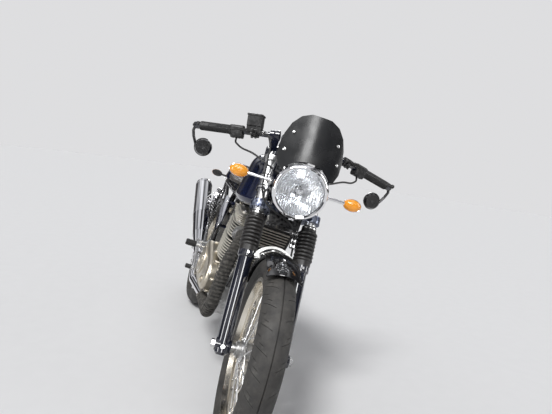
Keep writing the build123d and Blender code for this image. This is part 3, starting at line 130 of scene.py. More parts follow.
class Wiring:
    """Adds nodes to a shader tree. An input given as a socket is linked, any other value is set."""

    def __init__(self, tree):
        self.nodes = tree.nodes
        self.links = tree.links

    def feed(self, node, inputs):
        """Gives a node its inputs."""
        for name, value in inputs.items():
            socket = node.inputs[name]
            if isinstance(value, bpy.types.NodeSocket):
                self.links.new(value, socket)
            else:
                socket.default_value = value

    def add(self, kind, inputs=None, **settings):
        """Adds a node with its settings and inputs."""
        node = self.nodes.new(kind)
        for name, value in settings.items():
            setattr(node, name, value)
        self.feed(node, inputs or {})
        return node

    def calculate(self, operation, first, second):
        """Result of an operation on two values."""
        return self.add("ShaderNodeMath", {0: first, 1: second}, operation=operation).outputs[0]

    def place(self):
        """The place on the piece, in its own coordinates."""
        return self.add("ShaderNodeTexCoord").outputs["Object"]

    def cloud(self, place, scale, detail, roughness=0.5):
        """Noise at a place."""
        inputs = {"Vector": place, "Scale": scale, "Detail": detail, "Roughness": roughness}
        return self.add("ShaderNodeTexNoise", inputs).outputs["Fac"]

    def stretch(self, value, low, high, **ends):
        """Stretches a value between two levels to 0..1, or to the ends given as to_min and to_max."""
        node = self.add("ShaderNodeMapRange", {"Value": value, "From Min": low, "From Max": high})
        if ends:
            self.feed(node, {"To Min": ends["to_min"], "To Max": ends["to_max"]})
        return node.outputs["Result"]

    def mix(self, mask, first, second):
        """Mixes two colours by a mask; each is a colour or a socket."""
        node = self.add("ShaderNodeMix", {"Factor": mask}, data_type="RGBA")
        for socket, value in ((6, first), (7, second)):
            if not isinstance(value, bpy.types.NodeSocket):
                value = (*value, 1.0)
            self.feed(node, {socket: value})
        return node.outputs[2]


def node_group(name, inputs, outputs):
    """An empty shader node group, its wiring, and what comes in and goes out of it."""
    group = bpy.data.node_groups.new(name, "ShaderNodeTree")
    for label, value in inputs.items():
        socket = group.interface.new_socket(label, in_out="INPUT", socket_type="NodeSocketFloat")
        socket.default_value = value
    for label in outputs:
        group.interface.new_socket(label, in_out="OUTPUT", socket_type="NodeSocketFloat")
    wiring = Wiring(group)
    return group, wiring, wiring.add("NodeGroupInput").outputs, wiring.add("NodeGroupOutput")


def build_grain():
    """Fine surface grain with a slow change of tone."""
    group, wiring, given, result = node_group(
        "Surface grain", {"Scale": 400.0, "Stretch": 1.0}, ("Height", "Tone"),
    )
    place = wiring.place()
    pull = wiring.add("ShaderNodeCombineXYZ", {"X": given["Stretch"], "Y": 1.0, "Z": 1.0})
    stretched = wiring.add("ShaderNodeVectorMath", {0: place, 1: pull.outputs[0]}, operation="MULTIPLY")
    slow = wiring.cloud(place, 14.0, 6.0)
    wiring.feed(result, {
        "Height": wiring.cloud(stretched.outputs[0], given["Scale"], 4.0),
        "Tone": wiring.stretch(slow, 0.32, 0.68),
    })
    return group


def build_wear():
    """Rubbed convex edges, broken up by noise."""
    group, wiring, given, result = node_group("Edge wear", {"Start": 0.53, "End": 0.6}, ("Mask",))
    shape = wiring.add("ShaderNodeNewGeometry")
    edge = wiring.stretch(shape.outputs["Pointiness"], given["Start"], given["End"])
    broken = wiring.stretch(wiring.cloud(wiring.place(), 90.0, 5.0), 0.4, 0.62)
    wiring.feed(result, {"Mask": wiring.calculate("MULTIPLY", edge, broken)})
    return group


def build_dust():
    """Road dust that settles on what faces up, and thinly everywhere."""
    group, wiring, given, result = node_group("Road dust", {"Amount": 0.3}, ("Mask",))
    shape = wiring.add("ShaderNodeNewGeometry")
    split = wiring.add("ShaderNodeSeparateXYZ", {0: shape.outputs["Normal"]})
    upward = wiring.stretch(split.outputs["Z"], -0.6, 1.0)
    spotted = wiring.stretch(wiring.cloud(wiring.place(), 26.0, 8.0, 0.7), 0.38, 0.72)
    settled = wiring.calculate("MULTIPLY", upward, spotted)
    wiring.feed(result, {"Mask": wiring.calculate("MULTIPLY", settled, given["Amount"])})
    return group


def build_weave():
    """Two crossing threads."""
    group, wiring, given, result = node_group("Thread weave", {"Scale": 500.0}, ("Height", "Thread"))
    place = wiring.place()
    waves = [
        wiring.add(
            "ShaderNodeTexWave",
            {"Vector": place, "Scale": given["Scale"], "Distortion": 1.2, "Detail": 2.0},
            wave_type="BANDS", bands_direction=direction,
        ).outputs["Fac"]
        for direction in ("DIAGONAL", "Z")
    ]
    wiring.feed(result, {
        "Height": wiring.calculate("MULTIPLY", *waves),
        "Thread": wiring.stretch(wiring.cloud(place, 60.0, 5.0), 0.35, 0.65),
    })
    return group


def build_painted_fin_shade():
    """Mask of the bright rims of the cylinder fins and the top of the head, from the cylinders' axis;
    away from them the fins get painted shade, as if shaded between one another.
    """
    group, wiring, given, result = node_group("Painted fin shade", {"Start": 0.62, "End": 0.86}, ("Mask",))
    tilt = Matrix((X_AXIS, BANK_BACK, BANK_UP)).transposed()
    local = wiring.add("ShaderNodeMapping", {
        "Vector": wiring.place(),
        "Location": CHASSIS @ BANK_BASE,
        "Rotation": (CHASSIS.to_3x3().normalized() @ tilt).to_euler(),
        "Scale": (0.112, 0.088, 1.0),
    }, vector_type="TEXTURE")
    powers = local.outputs["Vector"]
    for _ in range(2):
        square = wiring.add("ShaderNodeVectorMath", {0: powers, 1: powers}, operation="MULTIPLY")
        powers = square.outputs[0]
    split = wiring.add("ShaderNodeSeparateXYZ", {0: powers}).outputs
    total = wiring.calculate("ADD", split["X"], split["Y"])
    rim = wiring.stretch(total, given["Start"], given["End"])
    top = wiring.stretch(split["Z"], 0.00124, 0.00134)
    wiring.feed(result, {"Mask": wiring.calculate("MAXIMUM", rim, top)})
    return group


GROUPS = {}
FINISHES = {}


def make_finish(
    name, colour, second=None, rough=(0.3, 0.45), metallic=0.0, coat=0.0, grain=600.0, depth=0.05,
    stretch=1.0, wear=None, dust=0.25, dust_colour=(0.3, 0.27, 0.22), weave=0.0, transmission=0.0,
    ior=1.5, sheen=0.0, painted_glow=None, painted_gap_shade=None,
):
    """A finish: base tone with a slow change, worn edges, dust and a fine grain; some finishes also get
    painted shade between the fins, and some a painted glow.
    """
    material = bpy.data.materials.new(name)
    material.use_nodes = True
    wiring = Wiring(material.node_tree)

    def effect(key, **inputs):
        """Outputs of one of the shared effects."""
        return wiring.add("ShaderNodeGroup", inputs, node_tree=GROUPS[key]).outputs

    if weave:
        surface = effect("weave", Scale=weave)
        tone = surface["Thread"]
    else:
        surface = effect("grain", Scale=grain, Stretch=stretch)
        tone = surface["Tone"]
    base = wiring.mix(tone, colour, second or tuple(c * 0.78 for c in colour))
    # painted shade: away from the fin rims the colour becomes the dark gap colour, standing in for
    # shade between the fins
    if painted_gap_shade:
        base = wiring.mix(effect("rims")["Mask"], painted_gap_shade, base)
    if wear:
        base = wiring.mix(effect("wear")["Mask"], base, wear)
    if dust:
        base = wiring.mix(effect("dust", Amount=dust)["Mask"], base, dust_colour)
    bump = wiring.add(
        "ShaderNodeBump", {"Strength": 0.6, "Distance": depth * 0.001, "Height": surface["Height"]},
    )
    shader = wiring.nodes["Principled BSDF"]
    wiring.feed(shader, {
        "Base Color": base,
        "Roughness": wiring.stretch(tone, 0.0, 1.0, to_min=rough[0], to_max=rough[1]),
        "Normal": bump.outputs["Normal"],
        "Metallic": metallic,
        "Coat Weight": coat,
        "Coat Roughness": 0.04,
        "IOR": ior,
        "Transmission Weight": transmission,
        "Sheen Weight": sheen,
    })
    # painted light: an emission that brightens a part which is no lit lamp
    if painted_glow:
        wiring.feed(shader, {"Emission Color": (*painted_glow[:3], 1.0), "Emission Strength": painted_glow[3]})
    FINISHES[name] = material


def grey(level):
    """A neutral colour."""
    return (level, level, level)


FINISH_TABLE = {
    "Frame black": dict(
        colour=(0.01, 0.01, 0.012), rough=(0.12, 0.22), coat=0.6, grain=300, depth=0.02,
        wear=grey(0.08), dust=0.05,
    ),
    "Tank enamel": dict(
        colour=(0.005, 0.01, 0.042), second=(0.003, 0.006, 0.026), rough=(0.05, 0.1), coat=1.0,
        grain=200, depth=0.008, dust=0.015,
    ),
    # the black paint is real; its blue tint is a painted reflection of the sky
    "Fork black": dict(
        colour=(0.006, 0.009, 0.024), second=(0.004, 0.006, 0.015), rough=(0.06, 0.12), coat=1.0,
        grain=300, depth=0.008, wear=(0.06, 0.06, 0.07), dust=0.02,
    ),
    "Gloss black": dict(
        colour=(0.006, 0.006, 0.007), rough=(0.06, 0.14), coat=1.0, grain=260, depth=0.008, dust=0.03,
    ),
    "Satin alloy": dict(
        colour=grey(0.62), second=grey(0.5), rough=(0.24, 0.38), metallic=1.0, grain=900, depth=0.02,
        stretch=0.15, wear=grey(0.8), dust=0.08,
    ),
    "Polished alloy": dict(
        colour=(0.8, 0.76, 0.68), second=(0.66, 0.61, 0.52), rough=(0.12, 0.24), metallic=1.0,
        grain=500, depth=0.01, stretch=0.3, dust=0.05,
    ),
    "Brushed alloy": dict(
        colour=(0.66, 0.66, 0.65), second=(0.56, 0.56, 0.55), rough=(0.4, 0.54), metallic=0.7,
        grain=900, depth=0.03, stretch=0.2, dust=0.02,
    ),
    "Cover alloy": dict(
        colour=(0.62, 0.57, 0.48), second=(0.52, 0.475, 0.39), rough=(0.28, 0.42), metallic=1.0,
        grain=600, depth=0.015, stretch=0.3, dust=0.08,
    ),
    "Cast alloy": dict(
        colour=grey(0.42), second=grey(0.32), rough=(0.4, 0.55), metallic=0.9, grain=1400, depth=0.12,
        wear=grey(0.65), dust=0.15,
    ),
    # its gap colour is painted shade between the fins
    "Fin alloy": dict(
        colour=(0.8, 0.77, 0.69), second=(0.68, 0.65, 0.58), rough=(0.3, 0.46), metallic=0.35,
        grain=1100, depth=0.06, painted_gap_shade=(0.02, 0.019, 0.017), dust=0.02,
    ),
    "Yoke metal": dict(
        colour=(0.03, 0.042, 0.1), second=(0.02, 0.028, 0.06), rough=(0.16, 0.3), metallic=0.6,
        grain=900, depth=0.02, wear=(0.4, 0.44, 0.55), dust=0.03,
    ),
    "Bright steel": dict(
        colour=grey(0.72), second=grey(0.6), rough=(0.14, 0.28), metallic=1.0, grain=1200, depth=0.015,
        stretch=0.1, dust=0.04,
    ),
    "Chain steel": dict(
        colour=(0.24, 0.22, 0.19), second=(0.12, 0.1, 0.085), rough=(0.3, 0.5), metallic=0.9, grain=800,
        depth=0.04, wear=(0.5, 0.48, 0.44), dust=0.2,
    ),
    "Cooler metal": dict(
        colour=(0.56, 0.5, 0.43), second=(0.42, 0.37, 0.32), rough=(0.35, 0.5), metallic=0.3, grain=900,
        depth=0.05, wear=(0.6, 0.56, 0.5), dust=0.15,
    ),
    "Cooler core": dict(
        colour=(0.03, 0.027, 0.024), rough=(0.6, 0.75), grain=900, depth=0.05, dust=0.1,
    ),
    "Chrome plate": dict(
        colour=(0.87, 0.87, 0.88), second=(0.8, 0.8, 0.82), rough=(0.025, 0.07), metallic=1.0,
        grain=200, depth=0.003, dust=0.02,
    ),
    # its glow is painted light that brightens the reflector; the headlamp is not lit
    "Lamp silver": dict(
        colour=(0.9, 0.9, 0.92), second=(0.84, 0.85, 0.87), rough=(0.12, 0.2), metallic=1.0, grain=300,
        depth=0.01, dust=0.0, painted_glow=(0.95, 0.97, 1.0, 0.06),
    ),
    "Header wrap": dict(
        colour=(0.075, 0.07, 0.062), second=(0.014, 0.013, 0.012), rough=(0.8, 0.95), weave=240.0,
        depth=1.6, sheen=0.1, wear=(0.3, 0.28, 0.25), dust=0.1,
    ),
    "Black plastic": dict(
        colour=(0.014, 0.014, 0.015), rough=(0.34, 0.48), grain=1600, depth=0.05, wear=grey(0.06),
        dust=0.06,
    ),
    "Smoked screen": dict(
        colour=(0.014, 0.015, 0.017), rough=(0.14, 0.34), coat=0.0, grain=420, depth=0.01, stretch=0.06,
        dust=0.03,
    ),
    "Gaiter rubber": dict(
        colour=(0.02, 0.018, 0.0175), second=(0.012, 0.011, 0.0105), rough=(0.34, 0.48), grain=900,
        depth=0.06, dust=0.05,
    ),
    "Grip rubber": dict(colour=grey(0.016), rough=(0.5, 0.66), grain=900, depth=0.08, dust=0.06),
    "Tyre rubber": dict(
        colour=(0.042, 0.04, 0.038), second=(0.024, 0.023, 0.022), rough=(0.6, 0.82), grain=800,
        depth=0.4, wear=(0.12, 0.115, 0.105), dust=0.5, dust_colour=(0.15, 0.138, 0.12),
    ),
    "Brown leather": dict(
        colour=(0.03, 0.022, 0.018), second=(0.02, 0.015, 0.012), rough=(0.38, 0.52), grain=520,
        depth=0.18, sheen=0.05, wear=(0.09, 0.06, 0.045), dust=0.05,
    ),
    "Tan thread": dict(colour=(0.3, 0.27, 0.22), rough=(0.7, 0.85), grain=2500, depth=0.1, dust=0.05),
    "Braided hose": dict(
        colour=(0.03, 0.03, 0.031), second=(0.016, 0.016, 0.017), rough=(0.4, 0.55), weave=900.0,
        depth=0.3, dust=0.06,
    ),
    "Lens glass": dict(
        colour=(0.97, 0.98, 0.99), second=(0.95, 0.97, 0.98), rough=(0.01, 0.04), grain=90, depth=0.01,
        transmission=1.0, ior=1.45, dust=0.0,
    ),
    # its glow is painted light, a bulb's reflection inside the lens; the indicators are not lit
    "Amber lens": dict(
        colour=(0.95, 0.3, 0.012), second=(0.9, 0.42, 0.04), rough=(0.08, 0.18), coat=0.6, grain=300,
        depth=0.05, dust=0.02, painted_glow=(0.9, 0.3, 0.02, 0.18),
    ),
    "Red lens": dict(
        colour=(0.45, 0.012, 0.01), second=(0.3, 0.008, 0.008), rough=(0.1, 0.2), coat=0.5, grain=300,
        depth=0.05, dust=0.03,
    ),
    "Dial face": dict(colour=(0.02, 0.02, 0.022), rough=(0.5, 0.6), grain=900, depth=0.01, dust=0.0),
    "Dial mark": dict(
        colour=(0.85, 0.85, 0.82), second=(0.8, 0.8, 0.77), rough=(0.5, 0.6), grain=900, depth=0.01,
        dust=0.0,
    ),
    "Spring black": dict(
        colour=(0.016, 0.016, 0.018), rough=(0.2, 0.34), coat=0.4, grain=500, depth=0.03,
        wear=grey(0.12), dust=0.05,
    ),
    "Mirror glass": dict(
        colour=(0.9, 0.9, 0.92), second=(0.88, 0.88, 0.9), rough=(0.01, 0.03), metallic=1.0, grain=60,
        depth=0.002, dust=0.02,
    ),
}

NODE_FINISH = {
    "frame_spine": "Frame black", "down_tubes": "Frame black", "rear_frame": "Frame black",
    "frame_plates": "Satin alloy", "swingarm": "Frame black", "spindle_bolts": "Satin alloy",
    "rear_shocks": "Chrome plate", "shock_springs": "Spring black", "crankcase": "Cast alloy",
    "engine_covers": "Cover alloy", "cylinder_block": "Fin alloy", "cylinder_head": "Fin alloy",
    "exhaust_wraps": "Header wrap", "silencers": "Chrome plate", "intake": "Black plastic",
    "side_panels": "Tank enamel", "oil_cooler": "Cooler core", "fuel_tank": "Tank enamel",
    "filler_cap": "Polished alloy", "seat_pad": "Brown leather", "seat_cowl": "Tank enamel",
    "rear_mudguard": "Gloss black", "rear_lamps": "Black plastic", "drive_chain": "Chain steel",
    "rearsets": "Satin alloy", "rear_caliper": "Satin alloy", "side_stand": "Frame black",
    "rear_tyre": "Tyre rubber", "rear_rim": "Polished alloy", "rear_hub": "Satin alloy",
    "rear_disc": "Bright steel", "rear_sprocket": "Chain steel", "front_axle": "Bright steel",
    "fork_lowers": "Fork black", "fork_stanchions": "Satin alloy", "fork_gaiters": "Gaiter rubber",
    "lower_yoke": "Yoke metal", "upper_yoke": "Satin alloy", "front_mudguard": "Gloss black",
    "fork_brace": "Brushed alloy", "headlamp_shell": "Fork black", "headlamp_rim": "Chrome plate",
    "headlamp_lens": "Lens glass", "lamp_brackets": "Fork black", "indicator_stalks": "Chrome plate",
    "indicator_lenses": "Amber lens", "clip_on_bars": "Fork black", "grips": "Grip rubber",
    "bar_controls": "Black plastic", "bar_end_mirrors": "Gloss black", "instruments": "Chrome plate",
    "fly_screen": "Smoked screen", "front_caliper": "Satin alloy", "front_tyre": "Tyre rubber",
    "front_rim": "Polished alloy", "front_hub": "Satin alloy", "front_disc": "Bright steel",
    "control_cables": "Braided hose", "brake_hoses": "Braided hose",
}


# ---- Mesh helpers, in millimetres of the upright machine


def circle(count):
    """Cosine and sine of the angles spaced round a circle."""
    return [(math.cos(math.tau * k / count), math.sin(math.tau * k / count)) for k in range(count)]


class Shape:
    """Points and faces of one piece."""

    def __init__(self):
        self.points = []
        self.faces = []

    def grid(self, rows, close_rows=False, close_columns=False):
        """A quad grid from rows of points."""
        start, columns = len(self.points), len(rows[0])
        for row in rows:
            self.points += [Vector(point) for point in row]
        for r in range(len(rows) if close_rows else len(rows) - 1):
            for c in range(columns if close_columns else columns - 1):
                a, b = r * columns, (r + 1) % len(rows) * columns
                d = (c + 1) % columns
                self.faces.append((start + a + c, start + b + c, start + b + d, start + a + d))

    def fan(self, centre, first, count):
        """Closes a ring of points, from the first of them, with triangles round a centre."""
        top = len(self.points)
        self.points.append(centre)
        self.faces += [(top, first + k, first + (k + 1) % count) for k in range(count)]

    def tube(self, path, radius, sides=10, closed=False, turn=0.0):
        """A round tube along points; the radius may be one value or one per point."""
        count = len(path)
        radii = radius if isinstance(radius, (list, tuple)) else [radius] * count
        normal, rows = None, []
        for i, point in enumerate(path):
            ahead = path[(i + 1) % count] if closed or i + 1 < count else path[i]
            behind = path[i - 1] if closed or i else path[i]
            along = (Vector(ahead) - Vector(behind)).normalized()
            if normal is None:
                normal = along.orthogonal().normalized()
            normal = (normal - along * normal.dot(along)).normalized()
            side = along.cross(normal)
            rows.append([
                Vector(point) + radii[i] * (math.cos(a) * normal + math.sin(a) * side)
                for a in (turn + math.tau * k / sides for k in range(sides))
            ])
        start = len(self.points)
        self.grid(rows, close_rows=closed, close_columns=True)
        if not closed:
            self.faces.append(tuple(start + k for k in range(sides)))
            self.faces.append(tuple(start + (count - 1) * sides + k for k in reversed(range(sides))))

    def lathe(self, base, axis, profile, sides=32, turn=0.0):
        """Turns a profile of (radius, height) round an axis; radius 0 closes it."""
        axis = Vector(axis).normalized()
        first = X_AXIS if abs(axis.dot(X_AXIS)) < 0.9 else Vector((0, 1, 0))
        u = axis.cross(first).normalized()
        v = axis.cross(u)
        rings = []
        for radius, height in profile:
            centre = Vector(base) + axis * height
            if radius <= 0:
                self.points.append(centre)
                rings.append([len(self.points) - 1])
            else:
                at = len(self.points)
                self.points += [
                    centre + radius * (math.cos(a) * u + math.sin(a) * v)
                    for a in (turn + math.tau * k / sides for k in range(sides))
                ]
                rings.append(list(range(at, at + sides)))
        for low, high in zip(rings, rings[1:]):
            for k in range(sides):
                n = (k + 1) % sides
                if len(low) == 1 and len(high) == 1:
                    continue
                if len(low) == 1:
                    self.faces.append((low[0], high[n], high[k]))
                elif len(high) == 1:
                    self.faces.append((low[k], low[n], high[0]))
                else:
                    self.faces.append((low[k], low[n], high[n], high[k]))

    def hex_bolt(self, at, axis, size=6.0, height=5.0, washer=True):
        """A hexagon head with a chamfered top on its washer; size is half the width."""
        sides, corner = 6, size * 1.12
        if washer:
            self.lathe(at, axis, solid((size * 1.45, 0), (size * 1.45, 1.2)), 20)
        self.lathe(
            at, axis,
            solid((corner, 1), (corner, height - 1), (corner * 0.86, height)), sides,
        )

    def socket_bolt(self, at, axis, radius=5.0, height=5.0):
        """A round cap screw with its hexagon socket."""
        r, floor = radius, height * 0.4
        self.lathe(
            at, axis, [(0, 0), (r, 0), (r, height - 0.6), (r - 0.6, height), (r * 0.62, height)], 20,
        )
        self.lathe(
            at, axis, [(r * 0.62, height), (r * 0.55, height - 0.3), (r * 0.5, floor), (0, floor)], 6,
        )

    def dome_screw(self, at, axis, radius=6.0, height=3.5):
        """A round-headed screw."""
        r = radius
        dome = solid((r, 0), (r, height * 0.3), (r * 0.85, height * 0.75), (r * 0.45, height))
        self.lathe(at, axis, dome, 20)

    def slab(self, outline, low, high, across=X_AXIS, origin=(0, 0, 0), u=(0, 1, 0), v=(0, 0, 1)):
        """A plate: outline points (u, v) raised from low to high along a direction."""
        origin, u, v, across = Vector(origin), Vector(u), Vector(v), Vector(across)
        n, start = len(outline), len(self.points)
        for level in (low, high):
            self.points += [origin + u * a + v * b + across * level for a, b in outline]
        self.faces.append(tuple(start + k for k in range(n)))
        self.faces.append(tuple(start + n + k for k in reversed(range(n))))
        for k in range(n):
            d = (k + 1) % n
            self.faces.append((start + k, start + d, start + n + d, start + n + k))


def bent_path(corners, radius, step=4.0):
    """Corner points joined by straight runs and round bends, sampled evenly."""
    corners = [Vector(corner) for corner in corners]
    path = [corners[0]]
    for before, corner, after in zip(corners, corners[1:], corners[2:]):
        a, b = (before - corner).normalized(), (after - corner).normalized()
        half = a.angle(b) / 2
        runs = (before - corner).length * 0.49, (after - corner).length * 0.49
        reach = min(radius / math.tan(half), *runs)
        bend = reach * math.tan(half)
        start, stop = corner + a * reach, corner + b * reach
        centre = corner + (a + b).normalized() * (bend / math.sin(half))
        path.append(start)
        sweep = math.pi - 2 * half
        count = max(3, int(bend * sweep / step))
        x, y = (start - centre), (stop - centre)
        for k in range(1, count):
            t = k / count
            spoke = math.sin((1 - t) * sweep) * x + math.sin(t * sweep) * y
            path.append(centre + spoke / math.sin(sweep))
        path.append(stop)
    path.append(corners[-1])
    even = [path[0]]
    for first, second in zip(path, path[1:]):
        span = (second - first).length
        count = max(1, round(span / step))
        even += [first.lerp(second, k / count) for k in range(1, count + 1)]
    return even


def show(name, shape, body, finish, smooth=35.0):
    """Makes the piece from its shape, gives it its finish and lets it ride on its body."""
    mesh = bpy.data.meshes.new(name)
    mesh.from_pydata([PLACES[body] @ point for point in shape.points], [], shape.faces)
    tidy = bmesh.new()
    tidy.from_mesh(mesh)
    bmesh.ops.remove_doubles(tidy, verts=tidy.verts, dist=1e-6)
    bmesh.ops.recalc_face_normals(tidy, faces=tidy.faces)
    tidy.to_mesh(mesh)
    tidy.free()
    mesh.validate()
    piece = bpy.data.objects.new(name, mesh)
    bpy.context.scene.collection.objects.link(piece)
    return dress(piece, body, finish, smooth)


def dress(piece, body, finish, smooth):
    """Gives a piece its finish, smooth faces and body."""
    piece.data.materials.append(FINISHES[finish])
    for face in piece.data.polygons:
        face.use_smooth = True
    piece.data.set_sharp_from_angle(angle=math.radians(smooth))
    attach(piece, body)
    return piece


# ---- Fasteners and turned trim


def fasten(name, body, rows, finish="Bright steel"):
    """Bolts and screws in one piece; each row is a kind, a place, a direction, a size and a height."""
    shape = Shape()
    for kind, at, way, *size in rows:
        getattr(shape, kind)(at, way, *size)
    return show(name, shape, body, finish)


def turn(name, body, rows, finish, sides=40, smooth=35.0, slot=None):
    """Turned pieces in one piece; each row is a place, an axis and a profile of (radius, height)."""
    shape = Shape()
    for at, axis, profile in rows:
        shape.lathe(at, axis, profile, sides)
    return show(name, shape, body, finish, smooth)


def solid(*profile):
    """A profile of (radius, height) closed to its axis at both ends."""
    return [(0, profile[0][1]), *profile, (0, profile[-1][1])]


def hoop(*profile):
    """A profile of (radius, height) closed on itself."""
    return [*profile, profile[0]]


def band(radius, start, stop, thick=1.4):
    """Profile of a flat band round a pipe."""
    r = radius - 1
    return hoop((r, start), (radius + thick, start), (radius + thick, stop), (r, stop))


def round_axle(axle, x, radius, angle):
    """A point round an axle: across, out from it, and back from the top by an angle."""
    return axle + Vector((x, radius * math.sin(angle), radius * math.cos(angle)))


def spread(count):
    """Angles spaced round a circle, half a step from the top."""
    return [math.tau * (k + 0.5) / count for k in range(count)]


def on_wheel(axle, x, radius, forward):
    """A point round a wheel: across, out from the axle and forward of the top, in degrees."""
    return round_axle(axle, x, radius, -math.radians(forward))


# ---- Settings a user would change


def length(name, description, default, low=0.0, high=1.0):
    """A length of the sidebar, in metres."""
    return FloatProperty(
        name=name, description=description, default=default, min=low, max=high, subtype="DISTANCE",
        unit="LENGTH", precision=4,
    )


def tint(name, description, default):
    """A colour of the sidebar."""
    return FloatVectorProperty(
        name=name, description=description, default=default, min=0.0, max=1.0, size=3, subtype="COLOR",
    )


class CafeRacerColours(bpy.types.PropertyGroup):
    """Colours of the machine"""

    tank: tint("Tank enamel", "Enamel of the tank, cowl and side panels", (0.005, 0.01, 0.042))
    frame: tint("Frame paint", "Paint of the frame and swinging arm", (0.01, 0.01, 0.012))
    seat: tint("Brown leather", "Leather of the seat", (0.03, 0.022, 0.018))
    wrap: tint("Header wrap", "Cloth tape wound on the header pipes", (0.075, 0.07, 0.062))
    floor: tint("Floor", "Studio floor", (0.78, 0.78, 0.78))


class CafeRacerSizes(bpy.types.PropertyGroup):
    """Sizes of the fine pieces"""

    groove: length("Tyre groove", "Width of the centre groove of the tyres", 0.0036, 0.001, 0.01)
    sipe: length("Tyre sipe", "Width of the slanted cuts of the tyres", 0.0017, 0.001, 0.01)
    sipes: IntProperty(
        name="Sipes", description="Slanted cuts on each side of a tyre", default=30, min=8, max=60,
    )
    wire: length("Spring wire", "Radius of the wire of the rear springs", 0.0032, 0.001, 0.005)
    coils: IntProperty(
        name="Spring coils", description="Turns of each rear spring", default=11, min=4, max=20,
    )
    tape: length(
        "Wrap tape", "Advance of the header tape on each turn round the pipe", 0.015, 0.008, 0.06,
    )
    channel: length("Seat channel", "Distance between the sewn channels of the seat", 0.026, 0.01, 0.1)


# ---- Pieces


def dress_nodes():
    """Gives each CAD node its finish."""
    for name, finish in NODE_FINISH.items():
        node = frame["nodes"].get(name)
        if node is None:
            raise RuntimeError(f"the frame has no node named {name}")
        node.data.materials.clear()
        node.data.materials.append(FINISHES[finish])


BEAD = Vector((32, 240))
BEAD_ROWS = (
    # beyond the bead, radius: foot, shoulder and protector of the tyre's bead
    (0, 229.6), (0, 238), (1.5, 243), (4, 248), (4.6, 249.5), (5.2, 249.5),
)
WALL_ROWS = (
    # share of the way up the wall, height of the rib there
    (0.42, 0.0), (0.46, 0.7), (0.5, 0.0), (0.75, 0.0), (0.79, 0.7), (0.83, 0.0),
)
TREAD_DEGREES = (90, 84, 80, 74, 73, 66, 58, 50, 42, 34, 26, 19, 18, 12, 7)
TREAD_LEAN = 0.62
GROOVE_DEPTH, SIPE_DEPTH = 4.5, 3.2
SIPE_STARTS = (0.12, 0.36, 0.62, 0.86)
SIPE_WALL = 0.16
SIPES = (
    # side, where it starts, from and to in degrees from the crown
    (-1, 0.12, 18, 73), (1, 0.62, 18, 73), (-1, 0.62, 50, 80), (1, 0.12, 50, 80),
    (-1, 0.36, 34, 58), (1, 0.86, 34, 58),
)


def tyre_section(radius, half, groove):
    """Points round a tyre's section: x, radius, degrees from the crown on the tread, and side."""
    crown = radius - half
    section = []
    for side in (-1, 1):
        points = [(18, 229, None)] + [(BEAD.x + beyond, height, None) for beyond, height in BEAD_ROWS]
        wall = Vector((half, crown)) - BEAD
        for share, rib in WALL_ROWS:
            point = BEAD + wall * share
            points.append((point.x + rib, point.y, None))
        for degrees in TREAD_DEGREES:
            a = math.radians(degrees)
            points.append((half * math.sin(a), crown + half * math.cos(a), degrees))
        for x, mark, depth in (
            (groove + 0.4, 0, 0.0), (groove, 0, 0.0), (groove - 0.3, -1, GROOVE_DEPTH),
        ):
            points.append((x, crown + half * math.cos(math.asin(min(1.0, x / half))) - depth, mark))
        run = [(side * x, height, mark, side) for x, height, mark in points]
        section += run if side < 0 else run[::-1]
    inner = [(22, 240), (half - 10, crown), (0, crown + half - 10), (10 - half, crown), (-22, 240)]
    return section + [(x, height, None, 0) for x, height in inner]


def in_sipe(side, mark, offset, width):
    """Whether a place of the tread lies inside one of its slanted cuts."""
    return any(
        which == side and low < mark < high and first + width * 0.1 < offset < first + width * 0.9
        for which, first, low, high in SIPES
    )


def tyre(name, node, body, axle, radius, half, settings):
    """A tyre with a centre groove, slanted cuts and ribbed walls."""
    step = math.tau / settings.sipes
    width = settings.sipe * 1000 / radius / step
    section = tyre_section(radius, half, settings.groove * 500)
    offsets = sorted([0.0, 0.06] + [
        start + width * share for start in SIPE_STARTS for share in (0, SIPE_WALL, 1 - SIPE_WALL, 1)
    ])
    shape = Shape()
    rows = []
    for repeat in range(settings.sipes):
        for offset in offsets:
            row = []
            for x, height, mark, side in section:
                on_tread = mark is not None and mark > 0
                lean = 0.0
                if on_tread:
                    lean = TREAD_LEAN * step * (mark / 90.0)
                elif mark is None and side:
                    lean = TREAD_LEAN * step
                if on_tread and in_sipe(side, mark, offset, width):
                    x -= side * SIPE_DEPTH * math.sin(math.radians(mark))
                    height -= SIPE_DEPTH * math.cos(math.radians(mark))
                row.append(round_axle(axle, x, height, (repeat + offset) * step + lean))
            rows.append(row)
    shape.grid(rows, close_rows=True, close_columns=True)
    piece = show(name, shape, body, "Tyre rubber", smooth=28)
    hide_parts(node)


def make_tyres(settings):
    """Both tyres, the rear one wider."""
    tyre("front_tyre_tread", "front_tyre", "front_wheel", FRONT_AXLE, 319.0, 50.0, settings)
    tyre("rear_tyre_tread", "rear_tyre", "rear_wheel", REAR_AXLE, 320.0, 65.0, settings)


SPOKES = 18


def spoke_line(axle, side, k):
    """Where a wire spoke leaves the hub and where it meets the rim."""
    step = 360 / SPOKES
    lean = 1 if k % 2 else -1
    hub_angle = math.radians(step * (k + 0.25 * side))
    rim_angle = hub_angle + lean * math.radians(2.3 * step)
    hub_x, rim_x = side * (31 + 4.5 * lean), side * (6 + 2 * lean)
    return round_axle(axle, hub_x, 37, hub_angle), round_axle(axle, rim_x, 211, rim_angle)


